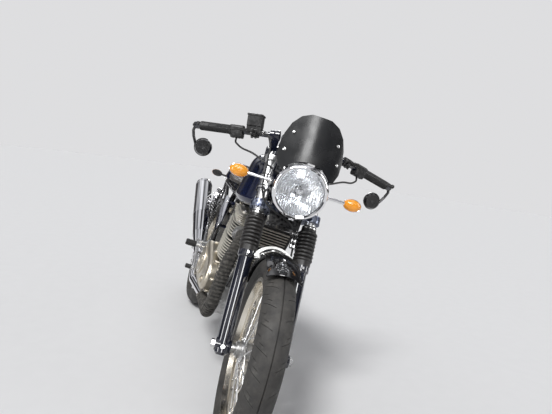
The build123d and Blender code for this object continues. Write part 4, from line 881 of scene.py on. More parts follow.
def make_wheel_trim():
    """Spoke nipples, spoke heads, valves and the bolts of discs and hubs."""
    for body, axle, label in (("front_wheel", FRONT_AXLE, "front"), ("rear_wheel", REAR_AXLE, "rear")):
        nipples, heads = Shape(), Shape()
        for side in (-1, 1):
            for k in range(SPOKES):
                start, stop = spoke_line(axle, side, k)
                along = (stop - start).normalized()
                nipples.lathe(
                    stop - along * 15, along,
                    solid((2.6, 0), (3.0, 1), (3.0, 9), (4.0, 10), (4.4, 13.5)), 8,
                )
                lean = 1 if k % 2 else -1
                heads.dome_screw(start + X_AXIS * (lean * 0.6), X_AXIS * lean * side, 3.4, 2.6)
        show(f"{label}_spoke_nipples", nipples, body, "Bright steel")
        show(f"{label}_spoke_heads", heads, body, "Bright steel")
        valve = solid((7, 0), (7, 2), (4.2, 3), (4.0, 22), (4.9, 22.5), (4.9, 33), (3.6, 35))
        turn(f"{label}_valve", body, [(axle - DOWN * 210, DOWN, valve)], "Black plastic", sides=16)
    fasten("front_disc_bolts", "front_wheel", [
        ("socket_bolt", round_axle(FRONT_AXLE, 63, 36, a), X_AXIS, 5, 4.5) for a in spread(6)
    ])
    rear = []
    for a in spread(5):
        rear += [
            ("hex_bolt", round_axle(REAR_AXLE, 81, 35, a), X_AXIS, 5.5, 4),
            ("socket_bolt", round_axle(REAR_AXLE, -80, 33, a), -X_AXIS, 4.5, 4),
        ]
    fasten("rear_hub_bolts", "rear_wheel", rear)


def make_springs(settings):
    """Coil springs of the rear shocks."""
    foot, head = Vector((101, 650, 364)), Vector((101, 540, 700))
    along = (head - foot).normalized()
    side = along.cross(X_AXIS).normalized()
    low, high = 85.0, (head - foot).length - 69.0
    wire, turns = settings.wire * 1000, settings.coils
    springs = Shape()
    for mirror in (1, -1):
        path = []
        steps = turns * 24
        for k in range(steps + 1):
            t = k / steps
            a = math.tau * turns * t
            height = low + (high - low) * (t - 0.014 * math.sin(math.tau * t))
            point = foot + along * height + 20.8 * (math.cos(a) * X_AXIS + math.sin(a) * side)
            path.append(Vector((mirror * point.x, point.y, point.z)))
        springs.tube(path, wire, 10)
    piece = show("coil_springs", springs, "chassis", "Spring black", smooth=60)
    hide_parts("shock_springs")


CHAIN_X = 78.0
FRONT_SPROCKET = Vector((0, 150, 345))
FRONT_TEETH, REAR_TEETH = 14, 36
REAR_PITCH_RADIUS = 88.0
CHAIN_PITCH = math.tau * REAR_PITCH_RADIUS / REAR_TEETH
TOOTH = (
    # share of a tooth's step, height over the pitch circle
    (0.0, -3.8), (0.12, -3.4), (0.3, 0.6), (0.44, 3.4), (0.56, 3.4), (0.7, 0.6), (0.88, -3.4),
)


def chain_path():
    """Points along the chain, one for each pin, and the direction there."""
    small, large = 34.0, REAR_PITCH_RADIUS
    line = REAR_AXLE - FRONT_SPROCKET
    gap = math.hypot(line.y, line.z)
    base = math.atan2(line.z, line.y)
    lean = math.asin((large - small) / gap)
    up, down = base + math.pi / 2 + lean, base - math.pi / 2 - lean
    run = math.sqrt(gap ** 2 - (large - small) ** 2)
    wrap_small = math.pi - 2 * lean
    wrap_large = math.pi + 2 * lean
    total = 2 * run + small * wrap_small + large * wrap_large

    def on_rear(a):
        """A point on the rear sprocket's pitch circle."""
        return REAR_AXLE + Vector((0, large * math.cos(a), large * math.sin(a)))

    def on_front(a):
        """A point on the front sprocket's pitch circle."""
        return FRONT_SPROCKET + Vector((0, small * math.cos(a), small * math.sin(a)))

    def spot(distance):
        """A point at a distance along the chain."""
        distance %= total
        if distance < wrap_large * large:
            return on_rear(up - distance / large)
        distance -= wrap_large * large
        if distance < run:
            return on_rear(down).lerp(on_front(down), distance / run)
        distance -= run
        if distance < wrap_small * small:
            return on_front(down - distance / small)
        distance -= wrap_small * small
        return on_front(up).lerp(on_rear(up), distance / run)

    links = 2 * round(total / CHAIN_PITCH / 2)
    return [spot(total * k / links) for k in range(links)]


def make_chain():
    """Plates, rollers and pins of the drive chain, and the teeth of its sprockets."""
    pins = chain_path()
    plates, rollers = Shape(), Shape()
    for k, pin in enumerate(pins):
        following = pins[(k + 1) % len(pins)]
        along = (following - pin).normalized()
        up = X_AXIS.cross(along)
        span = (following - pin).length
        outline = []
        for centre, start in ((span, -math.pi / 2), (0.0, math.pi / 2)):
            for i in range(7):
                a = start + math.pi * i / 6
                outline.append((centre + 6.6 * math.cos(a), 6.6 * math.sin(a)))
            outline.append((span * 0.5, 4.4 if centre else -4.4))
        outer = k % 2 == 0
        for side in (-1, 1):
            inner_face = CHAIN_X + side * (5.9 if outer else 4.2)
            low, high = sorted((inner_face, inner_face + side * 1.5))
            plates.slab(outline, low, high, origin=(0, pin.y, pin.z), u=along, v=up)
        rollers.lathe((CHAIN_X - 4.1, pin.y, pin.z), X_AXIS, solid((4.6, 0), (4.6, 8.2)), 10)
        for side in (-1, 1):
            end = (CHAIN_X + side * 5.6, pin.y, pin.z)
            rollers.lathe(end, X_AXIS * side, solid((2.4, 0), (2.4, 2.4), (1.8, 2.9)), 8)
    piece = show("chain_links", plates, "chassis", "Chain steel")
    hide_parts("drive_chain")
    show("chain_rollers", rollers, "chassis", "Bright steel")
    for name, body, centre, radius, teeth, root in (
        ("front_sprocket_teeth", "chassis", FRONT_SPROCKET, 34.0, FRONT_TEETH, 20.0),
        ("rear_sprocket_teeth", "rear_wheel", REAR_AXLE, REAR_PITCH_RADIUS, REAR_TEETH, 76.0),
    ):
        ring = Shape()
        phase = math.atan2(pins[0].y - centre.y, pins[0].z - centre.z) if body == "rear_wheel" else 0.0
        profile = [
            (phase + math.tau * (tooth + share) / teeth, radius + height)
            for tooth in range(teeth) for share, height in TOOTH
        ]
        rows = []
        for x, bore in (
            (CHAIN_X - 3, True), (CHAIN_X - 3, False), (CHAIN_X + 3, False), (CHAIN_X + 3, True),
        ):
            row = []
            for a, tip in profile:
                reach = root if bore else tip
                row.append((x, centre.y + reach * math.sin(a), centre.z + reach * math.cos(a)))
            rows.append(row)
        ring.grid(rows, close_rows=True, close_columns=True)
        show(name, ring, body, "Bright steel", smooth=20)


def header_path(side):
    """Corners of the wrapped part of a header pipe, from its port to below the engine."""
    return [
        PORT_FACE + Vector((side * 65, 0, 0)),
        PORT_FACE + Vector((side * 68, -52, -8)),
        Vector((side * 98, -306, 500)),
        Vector((side * 101, -306, 330)),
        Vector((side * 97, -250, 264)),
        Vector((side * 98, -60, 264)),
    ]


def frames_along(path):
    """How far along a path its points lie, and each point with two directions across the path."""
    lengths = [0.0]
    for first, second in zip(path, path[1:]):
        lengths.append(lengths[-1] + (second - first).length)
    frames, normal = [], None
    for i, point in enumerate(path):
        along = (path[min(i + 1, len(path) - 1)] - path[max(i - 1, 0)]).normalized()
        normal = normal or along.orthogonal().normalized()
        normal = (normal - along * normal.dot(along)).normalized()
        frames.append((point, normal, along.cross(normal)))
    return lengths, frames


WRAP_PROFILE = (
    # share of the tape's width, radius
    (0.0, 23.4), (0.1, 26.2), (0.28, 27.6), (0.5, 27.2), (0.75, 25.6), (0.97, 23.5),
)


def make_wraps(settings):
    """Cloth tape wound on the header pipes, with steel ties."""
    pitch = settings.tape * 1000
    cloth, ties = Shape(), Shape()
    for side in (-1, 1):
        lengths, frames = frames_along(bent_path(header_path(side), 34, 2.0))
        total = lengths[-1]

        def on_pipe(distance, angle, radius):
            """A point round the pipe at a distance along it."""
            distance = min(max(distance, 0.0), total)
            low = min(bisect_right(lengths, distance) - 1, len(lengths) - 2)
            t = (distance - lengths[low]) / max(lengths[low + 1] - lengths[low], 1e-6)
            a, b = frames[low], frames[low + 1]
            centre = a[0].lerp(b[0], t)
            u, v = a[1].lerp(b[1], t).normalized(), a[2].lerp(b[2], t).normalized()
            return centre + radius * (math.cos(angle) * u + math.sin(angle) * v)

        wraps = int(total / pitch) + 2
        sides = 32
        rows = []
        for wrap in range(-1, wraps):
            for share, radius in WRAP_PROFILE:
                row = []
                for k in range(sides + 1):
                    angle = math.tau * k / sides
                    distance = (wrap + share + k / sides) * pitch
                    c, s = math.cos(angle), math.sin(angle)
                    wrinkle = noise.noise(Vector((distance * 0.11, c * 2.4, s * 2.4 + side * 7)))
                    rumple = noise.noise(Vector((distance * 0.35, c * 6, s * 6)))
                    row.append(on_pipe(distance, angle, radius + 0.9 * wrinkle + 0.5 * rumple))
                rows.append(row)
        # rows beyond the ends of the pipe have shrunk to a point
        cloth.grid([row for row in rows if max((row[0] - row[k]).length for k in (8, 16, 24)) > 8])
        for share in (0.02, 0.985):
            centre = on_pipe(share * total, 0, 0)
            ahead = on_pipe(min(share * total + 3, total), 0, 0)
            behind = on_pipe(max(share * total - 3, 0), 0, 0)
            along = (ahead - behind).normalized()
            ties.lathe(
                centre - along * 4.5, along,
                hoop((23, 0), (27.7, 0), (28.2, 1), (28.2, 7), (27.7, 8), (23, 8)), 40,
            )
            out = Vector((side, 0, 0))
            out = (out - along * out.dot(along)).normalized()
            across = along.cross(out)
            ties.slab(
                [(-6, -6), (6, -6), (6, 6), (-6, 6)], 27.4, 31.0,
                across=out, origin=centre, u=along, v=across,
            )
    piece = show("header_wraps", cloth, "chassis", "Header wrap", smooth=70)
    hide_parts("exhaust_wraps")
    show("wrap_ties", ties, "chassis", "Chain steel")


SEAT_ROWS = [
    # y, half width low, half width high, bottom, top
    (50, 68, 60, 783, 817),
    (100, 84, 76, 781, 816),
    (150, 101, 89, 780, 814),
    (230, 110, 97, 781, 812),
    (320, 119, 105, 782, 813),
    (380, 117, 102, 784, 826),
    (426, 113, 95, 787, 843),
]


def seat_outline(y):
    """Half widths, bottom and top of the seat at a station."""
    for first, second in zip(SEAT_ROWS, SEAT_ROWS[1:]):
        if y <= second[0]:
            t = max(0.0, (y - first[0]) / (second[0] - first[0]))
            return [a + (b - a) * t for a, b in zip(first[1:], second[1:])]
    return SEAT_ROWS[-1][1:]


SEAT_FRONT, SEAT_BACK = 50, 426
SEAT_STATIONS, SEAT_SIDES = 151, 64
SEAT_END = 14.0
SEAT_PAN = 788.0


def seat_skin(inset):
    """Closed skin of the seat inside its outline by the inset, without seams."""
    skin = Shape()
    rows = []
    for k in range(SEAT_STATIONS):
        span = SEAT_BACK - SEAT_FRONT - 2 * inset
        y = SEAT_FRONT + inset + span * k / (SEAT_STATIONS - 1)
        low, high, bottom, top = seat_outline(y)
        end = min(y - SEAT_FRONT - inset, SEAT_BACK - inset - y) / SEAT_END
        pinch = math.sqrt(max(0.0, 1 - (1 - min(1.0, end)) ** 2))
        row = []
        for c, s in circle(SEAT_SIDES):
            x = math.copysign(abs(c) ** 0.38, c)
            z = math.copysign(abs(s) ** 0.5, s)
            width = low + (high - low) * (z + 1) / 2 - inset
            height = (top - bottom) / 2 - inset * 0.7
            row.append((x * width * (0.965 + 0.035 * pinch), y,
                        (bottom + top) / 2 + z * height * (0.35 + 0.65 * pinch)))
        rows.append(row)
    skin.grid(rows, close_columns=True)
    last = (SEAT_STATIONS - 1) * SEAT_SIDES
    skin.faces.append(tuple(range(SEAT_SIDES)))
    skin.faces.append(tuple(reversed(range(last, last + SEAT_SIDES))))
    return skin


def plump(cushion, pan, reach):
    """Swells the skin like cloth with air inside, held at its pan and by no more than the reach."""
    scene = bpy.context.scene
    bpy.context.view_layer.objects.active = cushion
    cushion.select_set(True)
    remesh = cushion.modifiers.new("skin", "REMESH")
    remesh.mode = "VOXEL"
    remesh.voxel_size = 0.005
    bpy.ops.object.modifier_apply(modifier=remesh.name)
    start = [vertex.co.copy() for vertex in cushion.data.vertices]
    upright = CHASSIS.inverted()
    held = [k for k, point in enumerate(start) if (upright @ point).z < pan]
    cushion.vertex_groups.new(name="pan").add(held, 1.0, "REPLACE")
    cloth = cushion.modifiers.new("cloth", "CLOTH")
    cloth.settings.use_pressure = True
    cloth.settings.uniform_pressure_force = 4.0
    cloth.settings.vertex_group_mass = "pan"
    cloth.settings.effector_weights.gravity = 0.0
    cloth.point_cache.frame_start = 1
    cloth.point_cache.frame_end = 20
    for frame in range(1, 21):
        scene.frame_set(frame)
    swollen = cushion.evaluated_get(bpy.context.evaluated_depsgraph_get()).to_mesh()
    ends = [vertex.co.copy() for vertex in swollen.vertices]
    cushion.modifiers.remove(cloth)
    cushion.vertex_groups.clear()
    scene.frame_set(1)
    for vertex, was, now in zip(cushion.data.vertices, start, ends):
        step = now - was
        if step.length > reach:
            step *= reach / step.length
        vertex.co = was + step
    rounding = cushion.modifiers.new("rounding", "SUBSURF")
    rounding.levels = 1
    bpy.ops.object.modifier_apply(modifier=rounding.name)
    cushion.select_set(False)


CHANNEL_DEPTH = 3.6
SEAM, SEAM_DEPTH = (0.78, 0.86), 1.8


def sew(mesh, channel):
    """Draws the sewn channels and the edge seam into the seat and keeps it in its outline."""
    upright = CHASSIS.inverted()
    for vertex in mesh.vertices:
        point = upright @ vertex.co
        low, high, bottom, top = seat_outline(min(SEAT_BACK, max(SEAT_FRONT, point.y)))
        share = (point.z - bottom) / (top - bottom)
        point.x = min(high + 0.5, max(-high - 0.5, point.x)) if share > 0.8 else point.x
        point.z = min(top + 0.6, point.z)
        if share > 0.72:
            across = abs(point.x) / high
            inside = max(0.0, 1 - (across / SEAM[0]) ** 6)
            valley = abs(((point.y - 60) / channel) % 1 - 0.5) * 2
            if 70 < point.y < 372:
                point.z -= CHANNEL_DEPTH * (max(0.0, valley - 0.62) / 0.38) ** 1.6 * inside
            point.z -= 2.5 * across ** 2
            if SEAM[0] < across < SEAM[1]:
                point.z -= SEAM_DEPTH
        vertex.co = CHASSIS @ point


def make_seat(settings):
    """Leather seat with sewn channels, a seam round its edge and a piping."""
    inset = 3.0
    skin = seat_skin(inset)
    mesh = bpy.data.meshes.new("leather_seat")
    mesh.from_pydata([CHASSIS @ Vector(point) for point in skin.points], [], skin.faces)
    piece = bpy.data.objects.new("leather_seat", mesh)
    bpy.context.scene.collection.objects.link(piece)
    plump(piece, SEAT_PAN, 0.005)
    sew(piece.data, settings.channel * 1000)
    dress(piece, "chassis", "Brown leather", 60)
    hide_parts("seat_pad")

    piping, thread = Shape(), Shape()
    for side in (-1, 1):
        edge = []
        for k in range(61):
            y = 58 + 360 * k / 60
            low, high, bottom, top = seat_outline(y)
            edge.append((side * (high * 0.955), y, top - 5.2))
        piping.tube(edge, 2.0, 8)
        for k in range(100):
            y = 66 + 3.2 * k
            if y > 372:
                break
            low, high, bottom, top = seat_outline(y)
            x = side * high * 0.8
            thread.tube([(x, y, top - 3.4), (x, y + 1.1, top - 2.6), (x, y + 2.2, top - 3.4)], 0.45, 5)
    show("seat_piping", piping, "chassis", "Brown leather")
    show("seat_stitches", thread, "chassis", "Tan thread")


LAMP_CENTRE = Vector((0, -656.8, 856.6))
LAMP_TILT = math.radians(7.6)
LAMP_AXIS = Vector((0, -math.cos(LAMP_TILT), -math.sin(LAMP_TILT)))
LAMP_UP = Vector((0, -math.sin(LAMP_TILT), math.cos(LAMP_TILT)))
LENS_RADIUS, LENS_DOME = 80.0, 16.0
BOWL_RADIUS, BOWL_DEPTH = 79.5, 46
FLUTE = 9.0


def in_lamp(x, up, out):
    """A point from its place in the headlamp: across, up and out from its middle."""
    return LAMP_CENTRE + X_AXIS * x + LAMP_UP * up + LAMP_AXIS * out


def flute_shift(up):
    """How far a flute is shifted aside; the slant starts a little above the lamp's middle."""
    return 0.6 * (up - 8) if up > 8 else 0.0


def make_headlamp():
    """Fluted lens, reflector, bulb with its shield, pilot window and rim clamp."""
    lens, sides, rings = Shape(), 144, 34
    sheets = []
    for inner in (False, True):
        rows = []
        for r in range(1, rings + 1):
            radius = LENS_RADIUS * r / rings
            row = []
            for c, s in circle(sides):
                x = radius * c
                out = LENS_DOME - LENS_DOME * (radius / LENS_RADIUS) ** 2
                if inner:
                    out -= 4.4 - (0.5 * abs(math.sin(math.pi * x / FLUTE)) if radius < 75 else 0.0)
                row.append(in_lamp(x, radius * s, out))
            rows.append(row)
        sheets.append(len(lens.points))
        lens.grid(rows, close_columns=True)
        lens.fan(in_lamp(0, 0, LENS_DOME - (4.2 if inner else 0.0)), sheets[-1], sides)
    outer, back = (sheet + (rings - 1) * sides for sheet in sheets)
    for k in range(sides):
        n = (k + 1) % sides
        lens.faces.append((outer + k, outer + n, back + n, back + k))
    piece = show("fluted_lens", lens, "steering", "Lens glass", smooth=50)
    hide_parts("headlamp_lens")

    profile = [(78, -9), (79.5, -9), (79.5, -11)]
    for k in range(13):
        radius = BOWL_RADIUS * (1 - k / 12)
        profile.append((max(radius, 14), -11 - BOWL_DEPTH * (1 - (radius / BOWL_RADIUS) ** 2)))
    back = [(radius, out - 1.5) for radius, out in reversed(profile[2:])]
    bowl = hoop(*profile, *back)
    turn("lamp_reflector", "steering", [(LAMP_CENTRE, LAMP_AXIS, bowl)], "Lamp silver", 64, 60)
    facets, rows = Shape(), []
    for r in range(40):
        radius = 78.5 - 64 * r / 39
        row = []
        for c, s in circle(160):
            x, up = radius * c, radius * s
            wave = 1.2 * abs(math.sin(math.pi * (x - flute_shift(up)) / FLUTE))
            row.append(in_lamp(x, up, -9.5 - BOWL_DEPTH * (1 - (radius / BOWL_RADIUS) ** 2) + wave))
        rows.append(row)
    facets.grid(rows, close_columns=True)
    show("reflector_flutes", facets, "steering", "Lamp silver", smooth=60)
    ribs = Shape()
    for start in range(-112, 80, 9):
        line = []
        for up in range(-72, 74, 4):
            x = start + flute_shift(up)
            if math.hypot(x, up) < 73:
                line.append(in_lamp(x, up, 10.9 - 16 * (math.hypot(x, up) / 80) ** 2))
        if len(line) > 2:
            ribs.tube(line, 0.75, 6)
    show("lens_ribs", ribs, "steering", "Satin alloy")
    bulb = [(0, -56), (13.6, -56), (13.6, -52), (7, -50), (7, -32), (5, -27), (0, -25)]
    turn("lamp_bulb", "steering", [(LAMP_CENTRE, LAMP_AXIS, bulb)], "Lens glass", 24)
    shield = Shape()
    hood = [(0, -22), (10, -24), (12, -30), (11.2, -30), (9.4, -25), (0, -23.4)]
    shield.lathe(LAMP_CENTRE, LAMP_AXIS, hood, 24)
    for a in (0.4, 2.5, 4.7):
        foot = in_lamp(40 * math.cos(a), 40 * math.sin(a), -43)
        shield.tube([in_lamp(11 * math.cos(a), 11 * math.sin(a), -28), foot], 0.9, 6)
    show("bulb_shield", shield, "steering", "Chrome plate")
    pilot = [(0, 0), (9, 0), (9, 8), (7, 11), (0, 12)]
    turn("pilot_window", "steering", [(in_lamp(-6, -34, -42), LAMP_AXIS, pilot)], "Lens glass", 20)
    clamp = Shape()
    clamp.slab([(-9, -97), (9, -97), (7, -89), (-7, -89)], -9, -2, across=LAMP_AXIS,
               origin=LAMP_CENTRE, u=X_AXIS, v=LAMP_UP)
    clamp.socket_bolt(in_lamp(0, -93, -2), LAMP_AXIS, 3.4, 4)
    show("rim_clamp", clamp, "steering", "Chrome plate")


BAR_ROOT = Vector((108, -425, 1026))
BAR_OUT = (Vector((391, -331, 980)) - BAR_ROOT).normalized()
BAR_HIGH = (Vector((0, 0, 1)) - BAR_OUT * BAR_OUT.z).normalized()
BAR_AHEAD = BAR_OUT.cross(BAR_HIGH)
PERCH, SWITCH, GRIP, BAR_END = 65.7, 125.7, 171.7, 301.7


def bar_way(side, along, ahead, up):
    """A direction given beside a handlebar: along it, forward of it and above it."""
    way = BAR_OUT * along + BAR_AHEAD * ahead + BAR_HIGH * up
    return Vector((side * way.x, way.y, way.z))


def on_bar(side, along, ahead, up):
    """A point from its place beside a handlebar, in the ways of bar_way."""
    return Vector((side * BAR_ROOT.x, BAR_ROOT.y, BAR_ROOT.z)) + bar_way(side, along, ahead, up)


def make_fork_trim():
    """Bolts, bands, seals and caps of the fork, its yokes, brace, mudguard and caliper."""
    ahead, steel, bands, edge = FORK_FORWARD, [], [], Shape()
    for side in (-1, 1):
        out = X_AXIS * side
        steel += [("socket_bolt", at_fork(side * 64, -24, up), ahead, 5.2, 7) for up in (485, 499)]
        steel += [
            ("socket_bolt", at_fork(side * 64, -20, 674), ahead, 5.2, 7),
            ("socket_bolt", at_fork(side * 120, -18, 712), out, 5.2, 6),
            ("socket_bolt", at_fork(side * 120, -36, 752), out, 5.2, 6),
            ("hex_bolt", at_fork(side * 68, -11, 310), ahead, 6.5, 8),
            ("socket_bolt", at_fork(side * 98, -30, 308), ahead, 5.2, 6),
            ("hex_bolt", at_fork(side * 98, -22, -6), ahead, 4.6, 5),
            ("hex_bolt", at_fork(side * 92, 46, 72), out, 6.2, 7),
            ("hex_bolt", at_fork(side * 92, 46, 150), out, 6.2, 7),
            ("hex_bolt", at_fork(side * 98, 0, 724), FORK_UP, 13, 9, False),
            ("dome_screw", at_fork(side * 98, 0, 733), FORK_UP, 5.5, 4),
            ("dome_screw", Vector((side * 99, -612.2, 862.6)), out, 10, 6),
            ("hex_bolt", at_fork(side * 70, -26, 556), ahead, 4.6, 5),
        ]
        for forward in (-14, -34):
            a = math.radians(forward)
            tilt = Vector((side * 0.23, -math.sin(a), math.cos(a)))
            spot = on_wheel(FRONT_AXLE, side * 20, 332.4, forward)
            steel.append(("dome_screw", spot, tilt, 6.5, 4.5))
        leg = at_fork(side * 98, 0, 0)
        bands += [
            (leg, FORK_UP, band(26.2, 455, 460, 0.8)),
            (leg, FORK_UP, band(26.4, 552, 558)), (leg, FORK_UP, band(26.4, 596, 602)),
            (FRONT_AXLE + out * 123.2, out, solid((19, 0), (19, 1.4))),
        ]
        rim = [on_wheel(FRONT_AXLE, side * 53.4, 315.4, 26 - 88 * k / 44) for k in range(45)]
        edge.tube(rim, 1.9, 8)
    for forward in (26, -62):
        arc = []
        for k in range(25):
            x = -53.4 + 106.8 * k / 24
            height = 333.4 - 86.2 + math.sqrt(86.2 ** 2 - x * x)
            arc.append(on_wheel(FRONT_AXLE, x, height, forward))
        edge.tube(arc, 1.9, 8)
    show("mudguard_bead", edge, "steering", "Gloss black")
    fasten("fork_bolts", "steering", steel)
    turn("fork_bands", "steering", bands, "Bright steel")

    out = X_AXIS
    cap = solid((17, 0), (17, 3), (15.5, 4.4), (9, 4.4), (8, 3))
    caps = [(at_fork(83.6, 95, up), out, cap) for up in (86, 136)]
    turn("caliper_caps", "steering", caps, "Satin alloy")
    fasten("caliper_bolts", "steering", [
        ("socket_bolt", at_fork(83.6, 72, 111), out, 5, 6),
        ("socket_bolt", at_fork(83.6, 116, 84), out, 5, 6),
        ("socket_bolt", at_fork(83.6, 116, 138), out, 5, 6),
        ("hex_bolt", at_fork(76, 90, 156.6), FORK_UP, 7, 8),
        ("hex_bolt", at_fork(66, 108, 156.6), FORK_UP, 4, 12),
        ("hex_bolt", on_bar(-1, PERCH - 20, 26, 0), bar_way(-1, -1, 0, 0), 6.5, 8),
    ])


def make_bar_trim():
    """Ribs of the grips, levers' pivots, switches, fluid cup trim and mirror glasses."""
    ribs, screws, knobs, glasses, rings = [], [], Shape(), [], []
    for side in (-1, 1):
        out = bar_way(side, 1, 0, 0)
        for k in range(22):
            at = on_bar(side, GRIP + 7.5 + k * 5.2, 0, 0)
            ribs.append((at, out, hoop((16, 0), (17.4, 0.7), (17.4, 2.6), (16, 3.3))))
        up, down, back = bar_way(side, 0, 0, 1), bar_way(side, 0, 0, -1), bar_way(side, 0, -1, 0)
        screws += [
            ("socket_bolt", on_bar(side, BAR_END + 18, 0, 0), out, 5.5, 6),
            ("dome_screw", on_bar(side, PERCH + 16, 49, 4), up, 7, 5),
            ("hex_bolt", on_bar(side, PERCH + 16, 49, -5), down, 5, 6),
            ("socket_bolt", on_bar(side, PERCH + 8, 12, -17), down, 4, 5),
            ("socket_bolt", on_bar(side, PERCH + 22, 12, -17), down, 4, 5),
            ("dome_screw", on_bar(side, SWITCH + 10, 8, -28), down, 3.4, 2.4),
            ("dome_screw", on_bar(side, SWITCH + 34, 8, -28), down, 3.4, 2.4),
        ]
        ball = [(0, -8), (5, -7), (8, -3), (8, 3), (5, 7), (0, 8)]
        knobs.lathe(on_bar(side, BAR_END - 18, 55.5, 0), up, ball, 20)
        for along, high, radius in ((SWITCH + 12, 6, 5), (SWITCH + 30, 8, 5), (SWITCH + 20, -14, 6.5)):
            button = solid((radius, 0), (radius, 4), (radius - 1, 5))
            knobs.lathe(on_bar(side, along, -19, high), back, button, 20)
        drum = solid((5, -10), (5, -8), (7, -8), (7, 8), (5, 8))
        knobs.lathe(on_bar(side, PERCH - 8, 30, 2), out, drum, 20)
        mirror = Vector((side * 354, -318, 906))
        ahead = Vector((side * 0.1, -1, -0.08)).normalized()
        glasses.append((mirror - ahead * 4, -ahead, [(0, 0), (31.4, 0), (31.4, 0.8), (0, 0.9)]))
        for r in (8, 14, 20, 26):
            ring = hoop((r - 2.6, 0), (r - 1.2, 2.6), (r + 1.2, 2.6), (r + 2.6, 0))
            rings.append((mirror + ahead * 11.4, ahead, ring))
        rings.append((mirror - ahead * 4, -ahead, hoop((31.6, 0), (33.6, 0), (33.6, 1.8), (31.6, 1.8))))
        rings.append((mirror + ahead * 2, ahead, hoop((33.4, -3), (35, -2.4), (35, -0.4), (32.8, 0.2))))
    for along in (PERCH - 8, PERCH + 34):
        for ahead_by in (6, 38):
            screws.append(("dome_screw", on_bar(-1, along, ahead_by, 63), bar_way(-1, 0, 0, 1), 3.2, 2))
    turn("grip_ribs", "steering", ribs, "Grip rubber", 28)
    fasten("bar_screws", "steering", screws, "Spring black")
    show("bar_knobs", knobs, "steering", "Black plastic")
    turn("mirror_glasses", "steering", glasses, "Mirror glass")
    turn("mirror_rings", "steering", rings, "Gloss black", slot="fork_paint")
    cup = Shape()
    window = solid((8, 0), (8, 2), (6.5, 2.6), (6, 1))
    cup.lathe(on_bar(-1, PERCH + 13, -0.2, 38), bar_way(-1, 0, -1, 0), window, 28)
    for k in range(3):
        cup.tube([on_bar(-1, PERCH - 8 + 14 * k, ahead_by, 63.4) for ahead_by in (2, 42)], 1.3, 8)
    cup.slab([(-14, 4), (40, 4), (40, 40), (-14, 40)], -2, 20, across=bar_way(-1, 0, 0, 1),
             origin=on_bar(-1, PERCH, 0, 0), u=bar_way(-1, 1, 0, 0), v=bar_way(-1, 0, 1, 0))
    show("fluid_cup_trim", cup, "steering", "Black plastic")
    block = Shape()
    block.slab([(-54, 430), (56, 430), (61, 477), (-60, 477)], -22, 14, across=-FORK_FORWARD,
               origin=at_fork(0, 0, 0), u=X_AXIS, v=FORK_UP)
    for x in (45, 57):
        block.tube([at_fork(x, -4, 436), at_fork(x + 0.5, -5, 404), at_fork(x + 1, -4, 370)], 5.6, 14)
    show("hose_block", block, "steering", "Frame black")
    ferrules = [
        (at_fork(x, -4.6, up), FORK_UP, band(5.2, -4, 4)) for x in (45, 57) for up in (378, 398, 424)
    ]
    turn("hose_ferrules", "steering", ferrules, "Bright steel", 20)


SCREEN_RAKE = math.radians(10)
SCREEN_UP = Vector((0, math.sin(SCREEN_RAKE), math.cos(SCREEN_RAKE)))
SCREEN_FRONT = Vector((0, -math.cos(SCREEN_RAKE), math.sin(SCREEN_RAKE)))
SCREEN_FOOT = Vector((0, -662, 950))
SCREEN_BEND = 220


def on_screen(x, up):
    """A point of the fly screen's front and the direction that it faces."""
    deep = SCREEN_BEND - math.sqrt(SCREEN_BEND ** 2 - x * x)
    point = SCREEN_FOOT + X_AXIS * x + SCREEN_UP * up - SCREEN_FRONT * deep
    share = x / SCREEN_BEND
    return point, X_AXIS * share + SCREEN_FRONT * math.sqrt(1 - share ** 2)


def make_screen_trim():
    """Screws, washers and nuts of the fly screen, and the dials behind it."""
    screws, washers = [], []
    for x, up in ((-77, 92), (77, 92), (-91, 30), (91, 30)):
        at, way = on_screen(x, up)
        screws.append(("dome_screw", at + way * 1.2, way, 5.4, 3.8))
        screws.append(("hex_bolt", at - way * 3.6, -way, 4.4, 5))
        washers.append((at, way, solid((7.4, 0), (7.4, 1.3))))
    fasten("screen_screws", "steering", screws)
    turn("screen_washers", "steering", washers, "Grip rubber", 24)
    up = Vector((0, 0.62, 0.78)).normalized()
    back = up.cross(X_AXIS)
    faces, marks, glass, hands = Shape(), Shape(), Shape(), Shape()
    for side in (-1, 1):
        centre = at_fork(side * 48, -62, 742)
        faces.lathe(centre, up, solid((36.2, 0), (36.2, 0.8)), 48)
        faces.lathe(centre, up, [(0, 0.8), (4, 0.8), (4, 2.6), (0, 2.8)], 20)
        glass.lathe(centre, up, [(0, 3.4), (36.2, 3.4), (36.2, 4.2), (0, 4.6)], 48)
        for k in range(25):
            a = math.radians(-130 + 260 * k / 24)
            way = X_AXIS * math.sin(a) - back * math.cos(a)
            side_way = way.cross(up)
            reach, half = (6.5, 0.7) if k % 4 == 0 else (3.5, 0.35)
            marks.slab([(33 - reach, -half), (33, -half), (33, half), (33 - reach, half)], 0.8, 1.1,
                       across=up, origin=centre, u=way, v=side_way)
        a = math.radians(-130)
        way = X_AXIS * math.sin(a) - back * math.cos(a)
        hands.slab([(-7, -0.9), (27, -0.35), (27, 0.35), (-7, 0.9)], 1.7, 2.3, across=up, origin=centre,
                   u=way, v=way.cross(up))
    show("dial_faces", faces, "steering", "Dial face")
    show("dial_marks", marks, "steering", "Dial mark")
    show("dial_hands", hands, "steering", "Red lens")
    show("dial_glasses", glass, "steering", "Lens glass")


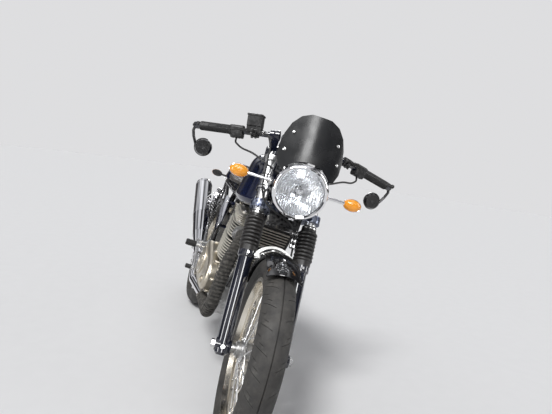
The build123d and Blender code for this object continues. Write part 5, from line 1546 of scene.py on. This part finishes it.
def lens_dome(shape, centre, way, wide, high, deep, rib=4.2, rings=14, sides=56):
    """A moulded lens: an ellipse dome with upright ribs and a stepped foot."""
    rows = []
    for r in range(1, rings + 1):
        share = r / rings
        row = []
        for c, s in circle(sides):
            x, z = wide * share * c, high * share * s
            out = deep * (1 - share ** 3.2) ** 0.6
            if share < 0.86:
                out -= 0.9 * abs(math.sin(math.pi * x / rib))
            row.append(centre + Vector((x, way * out, z)))
        rows.append(row)
    rows.append([centre + Vector((wide * c, -way * 0.6, high * s)) for c, s in circle(sides)])
    start = len(shape.points)
    shape.grid(rows, close_columns=True)
    shape.fan(centre + Vector((0, way * deep, 0)), start, sides)
    shape.faces.append(tuple(start + rings * sides + k for k in range(sides)))


def make_lamps():
    """Moulded lenses of the indicators and the rear lamp."""
    front, rims, amber, red = Shape(), Shape(), Shape(), Shape()
    for side in (-1, 1):
        centre = Vector((side * 207, -564, 866))
        lens_dome(front, centre, -1, 33, 21, 18)
        ring = [centre + Vector((33.2 * c, 0, 21.2 * s)) for c, s in circle(48)]
        rims.tube(ring, 1.2, 8, closed=True)
        lens_dome(amber, Vector((side * 134, 712, 788)), 1, 30.6, 19.6, 15)
    lens_dome(red, Vector((0, 708, 790)), 1, 43, 19, 21, rib=6)
    piece = show("indicator_domes", front, "steering", "Amber lens", smooth=50)
    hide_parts("indicator_lenses")
    show("indicator_rims", rims, "steering", "Chrome plate")
    show("rear_indicator_domes", amber, "chassis", "Amber lens", smooth=50)
    show("rear_lamp_lens", red, "chassis", "Red lens", smooth=50)


def rounded(circles, spacing):
    """Points spaced round the hull of two circles (y, z, radius), as (y, z)."""
    (ay, az, ar), (by, bz, br) = circles
    gap = math.hypot(by - ay, bz - az)
    base = math.atan2(bz - az, by - ay)
    lean = math.acos((ar - br) / gap)
    path = []
    for cy, cz, r, start, stop in (
        (ay, az, ar, base + lean, base + math.tau - lean), (by, bz, br, base - lean, base + lean),
    ):
        for k in range(41):
            angle = start + (stop - start) * k / 40
            path.append((cy + r * math.cos(angle), cz + r * math.sin(angle)))
    edges = list(zip(path, path[1:] + path[:1]))
    total = sum(math.dist(a, b) for a, b in edges)
    count = round(total / spacing)
    spots, run, want = [], 0.0, 0.0
    for a, b in edges:
        span = math.dist(a, b)
        while want <= run + span and len(spots) < count:
            t = (want - run) / span if span else 0
            spots.append((a[0] + (b[0] - a[0]) * t, a[1] + (b[1] - a[1]) * t))
            want += total / count
        run += span
    return spots


def make_engine_trim():
    """Ears and screws of the covers, nuts of the head, port collars and case bolts."""
    ears, screws, gaskets = [], [], Shape()
    for side, circles, level in (
        (-1, ((26, 404, 98), (-112, 384, 74)), 118), (1, ((-96, 386, 76), (20, 400, 56)), 116),
    ):
        out = X_AXIS * side
        grown = tuple((y, z, r + 1.5) for y, z, r in circles)
        for y, z in rounded(grown, 84):
            if side > 0 and 60 < y:
                continue
            at = Vector((side * 98, y, z))
            ears.append((at, out, solid((7, -1), (6.6, level - 99), (6, level - 98))))
            screws.append(("socket_bolt", at + out * (level - 98), out, 4.2, 4))
        joint = tuple((y, z, r + 0.2) for y, z, r in circles)
        gaskets.tube([Vector((side * 103, y, z)) for y, z in rounded(joint, 9)], 1.3, 6, closed=True)
    for k in range(3):
        a = math.tau * k / 3 + 0.5
        c, s = math.cos(a), math.sin(a)
        screws += [
            ("dome_screw", Vector((-152, 26 + 52 * c, 404 + 52 * s)), -X_AXIS, 4.6, 3),
            ("dome_screw", Vector((148, -96 + 38 * c, 386 + 38 * s)), X_AXIS, 4.6, 3),
        ]
    ears += [
        (Vector((-152, 26, 404)), -X_AXIS, hoop((34, 0), (36, 0), (36, 1.6), (34, 1.6))),
        (Vector((-144, -116, 352)), -X_AXIS, solid((17, 0), (17, 4), (14, 5), (12, 5), (12, 2.6))),
        (Vector((148, -96, 386)), X_AXIS, solid((15, 0), (15, 1.4), (13, 2))),
    ]
    turn("cover_ears", "chassis", ears, "Cover alloy", 28)
    fins = Shape()
    plate = [(-100, -64), (-86, -79), (86, -79), (100, -64), (100, 64), (86, 79), (-86, 79), (-100, 64)]
    for level in range(4):
        low = BLOCK_HEIGHT + 83.0 + 8.5 * level
        fins.slab(plate, low, low + 2.8, across=BANK_UP, origin=BANK_BASE, u=X_AXIS, v=BANK_BACK)
    show("rocker_fins", fins, "chassis", "Fin alloy")
    show("cover_gaskets", gaskets, "chassis", "Black plastic")
    top, head = BLOCK_HEIGHT + 120, BLOCK_HEIGHT + 78
    for side in (-1, 1):
        for back in (-1, 1):
            screws += [
                ("hex_bolt", at_bank(side * 72, back * 36, top), BANK_UP, 5.5, 6),
                ("hex_bolt", at_bank(side * 24, back * 36, top), BANK_UP, 5.5, 6),
                ("hex_bolt", at_bank(side * 84, back * 67, head), BANK_UP, 7, 9),
                ("hex_bolt", at_bank(side * 28, back * 67, head), BANK_UP, 7, 9),
            ]
        for aside in (-33, 33):
            spot = PORT_FACE + Vector((side * 65 + aside, -7, 0))
            screws.append(("hex_bolt", spot, -BANK_BACK, 4.6, 6))
        for z in (330, 362):
            screws.append(("hex_bolt", Vector((side * 58, -214, z)), Vector((0, -1, 0)), 5, 5))
        screws += [
            ("hex_bolt", Vector((side * 58.5, -222, 386)), X_AXIS * side, 7, 8),
            ("hex_bolt", Vector((side * 119, 216, 455)), X_AXIS * side, 6.5, 7),
            ("hex_bolt", Vector((side * 119, 120, 452)), X_AXIS * side, 6.5, 7),
            ("hex_bolt", Vector((side * 119, 214, 268)), X_AXIS * side, 6.5, 7),
        ]
    screws.append(("hex_bolt", Vector((0, -40, 234)), Vector((0, 0, -1)), 10, 8))
    fasten("engine_bolts", "chassis", screws)
    collars = []
    for side in (-1, 1):
        at = PORT_FACE + Vector((side * 65, 0, 0))
        way = (Vector((side * 68, -52, -8)) - Vector((side * 65, 0, 0))).normalized()
        profile = [(24, -4)]
        for k in range(4):
            profile += [(38, -3 + 6 * k), (38, -0.5 + 6 * k), (31, -0.2 + 6 * k), (31, 2.6 + 6 * k)]
        profile[-1] = (24, 19)
        collars.append((at, way, hoop(*profile)))
    turn("port_collars", "chassis", collars, "Satin alloy")
    cap = at_bank(62, 0, top)
    turn("oil_filler", "chassis", [(cap, BANK_UP, solid((17, 0), (17, 9), (14, 11), (6, 11), (6, 15)))],
         "Polished alloy", 12)
    ribs = Shape()
    for x in (-48, -24, 0, 24, 48):
        line = ((-40, -2), (-36, 1.6), (36, 1.6), (40, -2))
        ribs.tube([at_bank(x, back, top + rise) for back, rise in line], 2.6, 8)
    show("rocker_ribs", ribs, "chassis", "Satin alloy")


def make_intake_trim():
    """Clamps, caps and float bowls of the two carburettors, and the cooler's core and unions."""
    clamps, caps, bowls = [], [], []
    dashpot = solid((24, 0), (24, 34), (26, 35), (26, 42), (22, 46), (8, 47), (8, 52))
    bowl = solid((25, 0), (25, 36), (23, 38), (23, 52), (18, 58), (7, 58), (7, 63))
    face = at_bank(0, 94, BLOCK_HEIGHT + 44)
    for side in (-1, 1):
        start = face + X_AXIS * (side * 65)
        clamps += [(start + BANK_BACK * at, BANK_BACK, band(26.4, 0, 8)) for at in (5, 24)]
        middle = start + BANK_BACK * 62
        caps.append((middle, BANK_UP, dashpot))
        caps.append((middle, X_AXIS * side, solid((14, 0), (14, 36), (10, 38), (10, 42))))
        bowls.append((middle, -BANK_UP, bowl))
    turn("intake_clamps", "chassis", clamps, "Bright steel")
    turn("carburettor_caps", "chassis", caps, "Polished alloy", 32)
    turn("float_bowls", "chassis", bowls, "Cast alloy", 32)
    up = Vector((0, -0.42, 0.91)).normalized()
    back = up.cross(X_AXIS)
    back = back if back.y > 0 else -back
    base = Vector((0, -392, 622))
    core = Shape()
    for row in range(11):
        rows = []
        for k in range(67):
            x = -65 + 130 * k / 66
            z = 6.4 + row * 6 + (3.2 if k % 2 else 0)
            rows.append([base + X_AXIS * x + up * z + back * d for d in (-8.5, 8.5)])
        core.grid(rows)
    show("cooler_core", core, "chassis", "Cooler core", smooth=5)
    plates = Shape()
    outline = [(-66, -14.2), (66, -14.2), (66, 14.2), (-66, 14.2)]
    for row in range(7):
        plates.slab(outline, row * 12 - 0.6, row * 12 + 3.6, across=up, origin=base, u=X_AXIS, v=back)
    show("cooler_plates", plates, "chassis", "Cooler metal")
    union = solid((7, 0), (7, 4), (9, 4), (9, 10), (6, 11), (6, 16))
    unions = [(base + X_AXIS * (side * 70) + up * 78, up, union) for side in (-1, 1)]
    turn("cooler_unions", "chassis", unions, "Bright steel", 6)


def make_rear_trim():
    """Clamps and ends of the silencers, rubbers of rests and pedals, and bolts behind the engine."""
    clamps, rubbers, steel, straps = [], [], [], Shape()
    for side in (-1, 1):
        out = X_AXIS * side
        start, stop = Vector((side * 146, 190, 385)), Vector((side * 186, 700, 702))
        along = (stop - start).normalized()
        end = (stop - start).length
        clamps += [
            (start, along, band(26.6, -9, -1, 2)),
            (start, along, band(47.6, end - 34, end - 29, 1.2)),
            (start, along, band(46.6, 297, 301, 1.6)),
            (start, along, hoop((30.4, end - 1), (36, end - 1), (36.4, end + 1), (30, end + 1.6))),
        ]
        rubbers.append((Vector((side * 180, 150, 440)), out, band(14, 0, 46, 0.6)))
        for k in range(7):
            rubbers.append((Vector((side * (181 + 6.4 * k), 150, 440)), out,
                            hoop((13, 0), (16, 0.8), (16, 3.6), (13, 4.4))))
        rubbers.append((Vector((side * 226, 150, 440)), out, solid((14.4, 0), (14.4, 3), (12, 4.6))))
        pedal = [(7, 0), (10.4, 0), (10.4, 24), (8, 26.4), (0, 26.4)]
        rubbers.append((Vector((side * 186, 4, 361)), out, pedal))
        top = start + along * ((540 - start.y) / along.y) + Vector((side * -8, -16, 43))
        down = (Vector((side * 121, 540, 700)) - top).normalized()
        straps.slab([(-11, 0), (11, 0), (9, 52), (-9, 52)], -1.6, 1.6, across=out,
                    origin=top - Vector((0, 0, 4)), v=down)
        steel += [
            ("hex_bolt", Vector((side * 176, 198, 455)), out, 6, 6),
            ("dome_screw", Vector((side * 176, 100, 419)), out, 5, 4),
            ("hex_bolt", Vector((side * 129, 162, 452)), out, 4, 4),
            ("hex_bolt", Vector((side * 101, 740, 320)), Vector((0, 1, 0)), 6, 12),
            ("hex_bolt", Vector((side * 90, 640, 771)), Vector((0, 0, 1)), 4, 4),
            ("dome_screw", Vector((side * 117, 100, 690)), out, 7, 4),
            ("dome_screw", Vector((side * 117, 120, 570)), out, 7, 4),
        ]
        for forward in (-22, 4):
            steel.append(("dome_screw", on_wheel(REAR_AXLE, side * 26, 338.6, -30 + forward),
                          Vector((side * 0.3, 0.45, 0.85)), 6, 4))
    for back, up in ((600, 248), (644, 248), (600, 288), (644, 288)):
        steel.append(("socket_bolt", Vector((-106, back, up)), -X_AXIS, 4.6, 5))
    hinge = Vector((0.9, -0.15, 0.42))
    steel.append(("dome_screw", Vector((138, 190, 238)) + hinge * 12, hinge, 9, 6))
    for c, s in circle(6):
        steel.append(("socket_bolt", Vector((30 * c, -200 + 30 * s, 964)), Vector((0, 0, 1)), 3, 1.6))
    for side in (-1, 1):
        lean = Vector((side * 0.3, -0.2, 0.9))
        steel.append(("dome_screw", Vector((side * 60, 448, 871)), lean, 5, 3))
    turn("silencer_bands", "chassis", clamps, "Chrome plate", 56)
    turn("rest_rubbers", "chassis", rubbers, "Grip rubber", 24)
    show("silencer_hangers", straps, "chassis", "Satin alloy")
    fasten("rear_bolts", "chassis", steel)
    lock = Vector((0, -200, 964))
    turn("filler_lock", "chassis", [
        (lock, (0, 0, 1), solid((22, 0), (22, 1.4), (20, 2.2), (10, 2.2), (9.4, 3.4))),
        (lock, (0, 0, -1), hoop((36, 0), (44, 8), (44, 12), (36, 12))),
    ], "Polished alloy", 48)


FLOOR_RADIUS, FLOOR_LEVEL = 18, -0.0005
BACKDROP = (0.73, 0.73, 0.742)
DARK_PATCH = (0.035, 0.035, 0.04)
SKY_STOPS = (
    # height above the horizon, colour
    (0.0, (0.2, 0.18, 0.16)),
    (0.06, (0.07, 0.06, 0.055)),
    (0.22, (0.12, 0.12, 0.13)),
    (0.42, (0.6, 0.6, 0.61)),
    (0.8, (0.95, 0.96, 1.0)),
)
# lamps seen in the glossy surfaces alone, so that the floor stays even
STRIPS = (
    # name, place, what it faces, size, power
    ("screen_strip", (-0.25, -4.2, 2.9), (0, -0.6, 0.9), (1.0, 2.4), 90),
    ("side_strip", (-3.8, -1.9, 1.5), (0, 0, 0.6), (0.7, 2.6), 60),
    ("left_strip", (3.6, -1.4, 2.2), (0, 0, 0.6), (0.6, 2.4), 50),
    ("back_strip", (1.0, 3.6, 2.6), (0, 0.2, 0.6), (2.4, 0.8), 50),
)
# the camera that was fitted to the photograph, in the upright machine's own directions
CAMERA_PLACE = Vector((-481.63, -2098.84, 861.86))
CAMERA_RIGHT = Vector((0.9031466, -0.22724375, 0.36426159))
CAMERA_FORWARD = Vector((0.26300371, 0.96344344, -0.05104685))
CAMERA_UP = Vector((-0.33934537, 0.14190494, 0.92989661))
CAMERA_ROLL = math.radians(-0.79646)
CAMERA_LENS = 30.344


def make_stage(settings):
    """Pale floor, soft lamps, pale world and the camera at the photograph's angle."""
    floor = bpy.data.meshes.new("studio_floor")
    ring = [(FLOOR_RADIUS * c, FLOOR_RADIUS * s, FLOOR_LEVEL) for c, s in circle(96)]
    floor.from_pydata(ring, [], [tuple(range(96))])
    ground = bpy.data.objects.new("studio_floor", floor)
    bpy.context.scene.collection.objects.link(ground)
    floor.materials.append(FINISHES["Studio floor"])

    world = bpy.data.worlds.new("studio_world")
    world.use_nodes = True
    bpy.context.scene.world = world
    wiring = Wiring(world.node_tree)
    way = wiring.add("ShaderNodeTexCoord").outputs["Generated"]
    split = wiring.add("ShaderNodeSeparateXYZ", {0: way})
    sky = wiring.add("ShaderNodeValToRGB", {"Fac": split.outputs["Z"]})
    ramp_stops = sky.color_ramp.elements
    for index, (height, colour) in enumerate(SKY_STOPS):
        stop = ramp_stops[index] if index < 2 else ramp_stops.new(height)
        stop.position = height
        stop.color = (*colour, 1.0)
    lit = wiring.stretch(wiring.cloud(way, 2.4, 1.0), 0.42, 0.58)
    surroundings = wiring.mix(lit, DARK_PATCH, sky.outputs["Color"])
    seen = wiring.add("ShaderNodeLightPath").outputs["Is Camera Ray"]
    shown = wiring.mix(seen, surroundings, BACKDROP)
    wiring.feed(wiring.nodes["Background"], {"Color": shown})

    sun = bpy.data.lights.new("soft_sun", "SUN")
    sun.energy = 2.0
    sun.angle = math.radians(16)
    shine = bpy.data.objects.new("soft_sun", sun)
    shine.rotation_euler = (Vector((2.0, 2.6, -4.2))).to_track_quat("-Z", "Y").to_euler()
    bpy.context.scene.collection.objects.link(shine)
    for name, place, aim, size, power in STRIPS:
        light = bpy.data.lights.new(name, "AREA")
        light.shape = "RECTANGLE"
        light.size, light.size_y = size
        light.energy = power
        lamp = bpy.data.objects.new(name, light)
        lamp.location = place
        lamp.rotation_euler = (Vector(aim) - Vector(place)).to_track_quat("-Z", "Y").to_euler()
        lamp.visible_diffuse = False
        bpy.context.scene.collection.objects.link(lamp)

    camera_data = bpy.data.cameras.new("photo_camera")
    camera_data.sensor_width = 36.0
    camera_data.lens = CAMERA_LENS
    camera = bpy.data.objects.new("photo_camera", camera_data)
    image_right = math.cos(CAMERA_ROLL) * CAMERA_RIGHT + math.sin(CAMERA_ROLL) * CAMERA_UP
    image_up = -math.sin(CAMERA_ROLL) * CAMERA_RIGHT + math.cos(CAMERA_ROLL) * CAMERA_UP
    facing = Matrix((image_right, image_up, -CAMERA_FORWARD)).transposed()
    turned = CHASSIS.to_3x3().normalized() @ facing
    camera.matrix_world = Matrix.Translation(CHASSIS @ CAMERA_PLACE) @ turned.to_4x4()
    bpy.context.scene.collection.objects.link(camera)
    bpy.context.scene.camera = camera
    bpy.context.scene.view_settings.view_transform = "Standard"


def make_finishes(colours):
    """Builds the shared effects, then every finish, four of them in the colours that were chosen."""
    # the rims effect masks the painted shade between the cylinder fins
    GROUPS.update(
        grain=build_grain(), wear=build_wear(), dust=build_dust(),
        weave=build_weave(), rims=build_painted_fin_shade(),
    )
    chosen = {
        "Tank enamel": colours.tank, "Frame black": colours.frame, "Brown leather": colours.seat,
        "Header wrap": colours.wrap,
    }
    for name, values in FINISH_TABLE.items():
        if name in chosen:
            values = {**values, "colour": tuple(chosen[name])}
        make_finish(name, **values)
    make_finish("Studio floor", tuple(colours.floor), second=tuple(c * 0.985 for c in colours.floor),
                rough=(0.6, 0.7), grain=40, depth=0.02, dust=0.0)
    matt = FINISHES["Studio floor"].node_tree.nodes["Principled BSDF"]
    matt.inputs["Specular IOR Level"].default_value = 0.0


# ---- Operators, panel and registration


class CafeRacerOperator:
    """Shared by the operators: each makes its pieces once."""

    bl_options = {"REGISTER", "UNDO"}

    def execute(self, context):
        self.make(context.scene.cafe_racer_sizes, context.scene.cafe_racer_colours)
        return {"FINISHED"}


class CAFERACER_OT_finishes(CafeRacerOperator, bpy.types.Operator):
    """Builds the finishes and gives them to the frame's nodes"""

    bl_idname = "cafe_racer.finishes"
    bl_label = "Finishes"

    def make(self, sizes, colours):
        make_finishes(colours)
        dress_nodes()


class CAFERACER_OT_wheels(CafeRacerOperator, bpy.types.Operator):
    """Tyres with their tread, spoke nipples, valves and hub bolts"""

    bl_idname = "cafe_racer.wheels"
    bl_label = "Wheels"

    def make(self, sizes, colours):
        make_tyres(sizes)
        make_wheel_trim()


class CAFERACER_OT_drive(CafeRacerOperator, bpy.types.Operator):
    """Chain, sprocket teeth and rear springs"""

    bl_idname = "cafe_racer.drive"
    bl_label = "Chain and springs"

    def make(self, sizes, colours):
        make_chain()
        make_springs(sizes)


class CAFERACER_OT_exhaust(CafeRacerOperator, bpy.types.Operator):
    """Tape and ties of the header pipes"""

    bl_idname = "cafe_racer.exhaust"
    bl_label = "Header wraps"

    def make(self, sizes, colours):
        make_wraps(sizes)


class CAFERACER_OT_seat(CafeRacerOperator, bpy.types.Operator):
    """Leather seat with its channels, piping and stitches"""

    bl_idname = "cafe_racer.seat"
    bl_label = "Leather cushion"

    def make(self, sizes, colours):
        make_seat(sizes)


class CAFERACER_OT_headlamp(CafeRacerOperator, bpy.types.Operator):
    """Lens, reflector and bulb of the headlamp"""

    bl_idname = "cafe_racer.headlamp"
    bl_label = "Headlamp"

    def make(self, sizes, colours):
        make_headlamp()


class CAFERACER_OT_fork(CafeRacerOperator, bpy.types.Operator):
    """Bolts, bands and caps of the fork, mudguard and front brake"""

    bl_idname = "cafe_racer.fork"
    bl_label = "Fork trim"

    def make(self, sizes, colours):
        make_fork_trim()


class CAFERACER_OT_bars(CafeRacerOperator, bpy.types.Operator):
    """Grips, switches and mirrors, screws of the screen, dials and indicator lenses"""

    bl_idname = "cafe_racer.bars"
    bl_label = "Bars and dials"

    def make(self, sizes, colours):
        make_bar_trim()
        make_screen_trim()
        make_lamps()


class CAFERACER_OT_engine(CafeRacerOperator, bpy.types.Operator):
    """Screws, collars and clamps of the engine, carburettors and oil cooler"""

    bl_idname = "cafe_racer.engine"
    bl_label = "Engine trim"

    def make(self, sizes, colours):
        make_engine_trim()
        make_intake_trim()


class CAFERACER_OT_rear(CafeRacerOperator, bpy.types.Operator):
    """Silencer bands, rest rubbers and the bolts behind the engine"""

    bl_idname = "cafe_racer.rear"
    bl_label = "Rear trim"

    def make(self, sizes, colours):
        make_rear_trim()


class CAFERACER_OT_stage(CafeRacerOperator, bpy.types.Operator):
    """Floor, lamps, world and camera"""

    bl_idname = "cafe_racer.stage"
    bl_label = "Stage"

    def make(self, sizes, colours):
        make_stage(colours)


OPERATORS = (
    CAFERACER_OT_finishes,
    CAFERACER_OT_stage,
    CAFERACER_OT_wheels,
    CAFERACER_OT_drive,
    CAFERACER_OT_exhaust,
    CAFERACER_OT_seat,
    CAFERACER_OT_headlamp,
    CAFERACER_OT_fork,
    CAFERACER_OT_bars,
    CAFERACER_OT_engine,
    CAFERACER_OT_rear,
)


class CAFERACER_PT_panel(bpy.types.Panel):
    """Lists the operators and the settings"""

    bl_label = "Cafe racer"
    bl_idname = "CAFERACER_PT_panel"
    bl_space_type = "VIEW_3D"
    bl_region_type = "UI"
    bl_category = "Cafe racer"

    def draw(self, context):
        for group in (context.scene.cafe_racer_colours, context.scene.cafe_racer_sizes):
            box = self.layout.box()
            for key in group.bl_rna.properties.keys():
                if key not in {"rna_type", "name"}:
                    box.prop(group, key)
        for operator in OPERATORS:
            self.layout.operator(operator.bl_idname)


CLASSES = (CafeRacerColours, CafeRacerSizes, *OPERATORS, CAFERACER_PT_panel)


def register():
    """Registers the classes and hangs the settings on the scene."""
    for cls in CLASSES:
        bpy.utils.register_class(cls)
    bpy.types.Scene.cafe_racer_colours = PointerProperty(type=CafeRacerColours)
    bpy.types.Scene.cafe_racer_sizes = PointerProperty(type=CafeRacerSizes)


def unregister():
    """Takes the settings and the classes away again."""
    del bpy.types.Scene.cafe_racer_sizes
    del bpy.types.Scene.cafe_racer_colours
    for cls in reversed(CLASSES):
        bpy.utils.unregister_class(cls)


def main():
    """Runs the operators."""
    register()
    for operator in OPERATORS:
        module, name = operator.bl_idname.split(".")
        getattr(getattr(bpy.ops, module), name)()


if __name__ == "__main__":
    main()
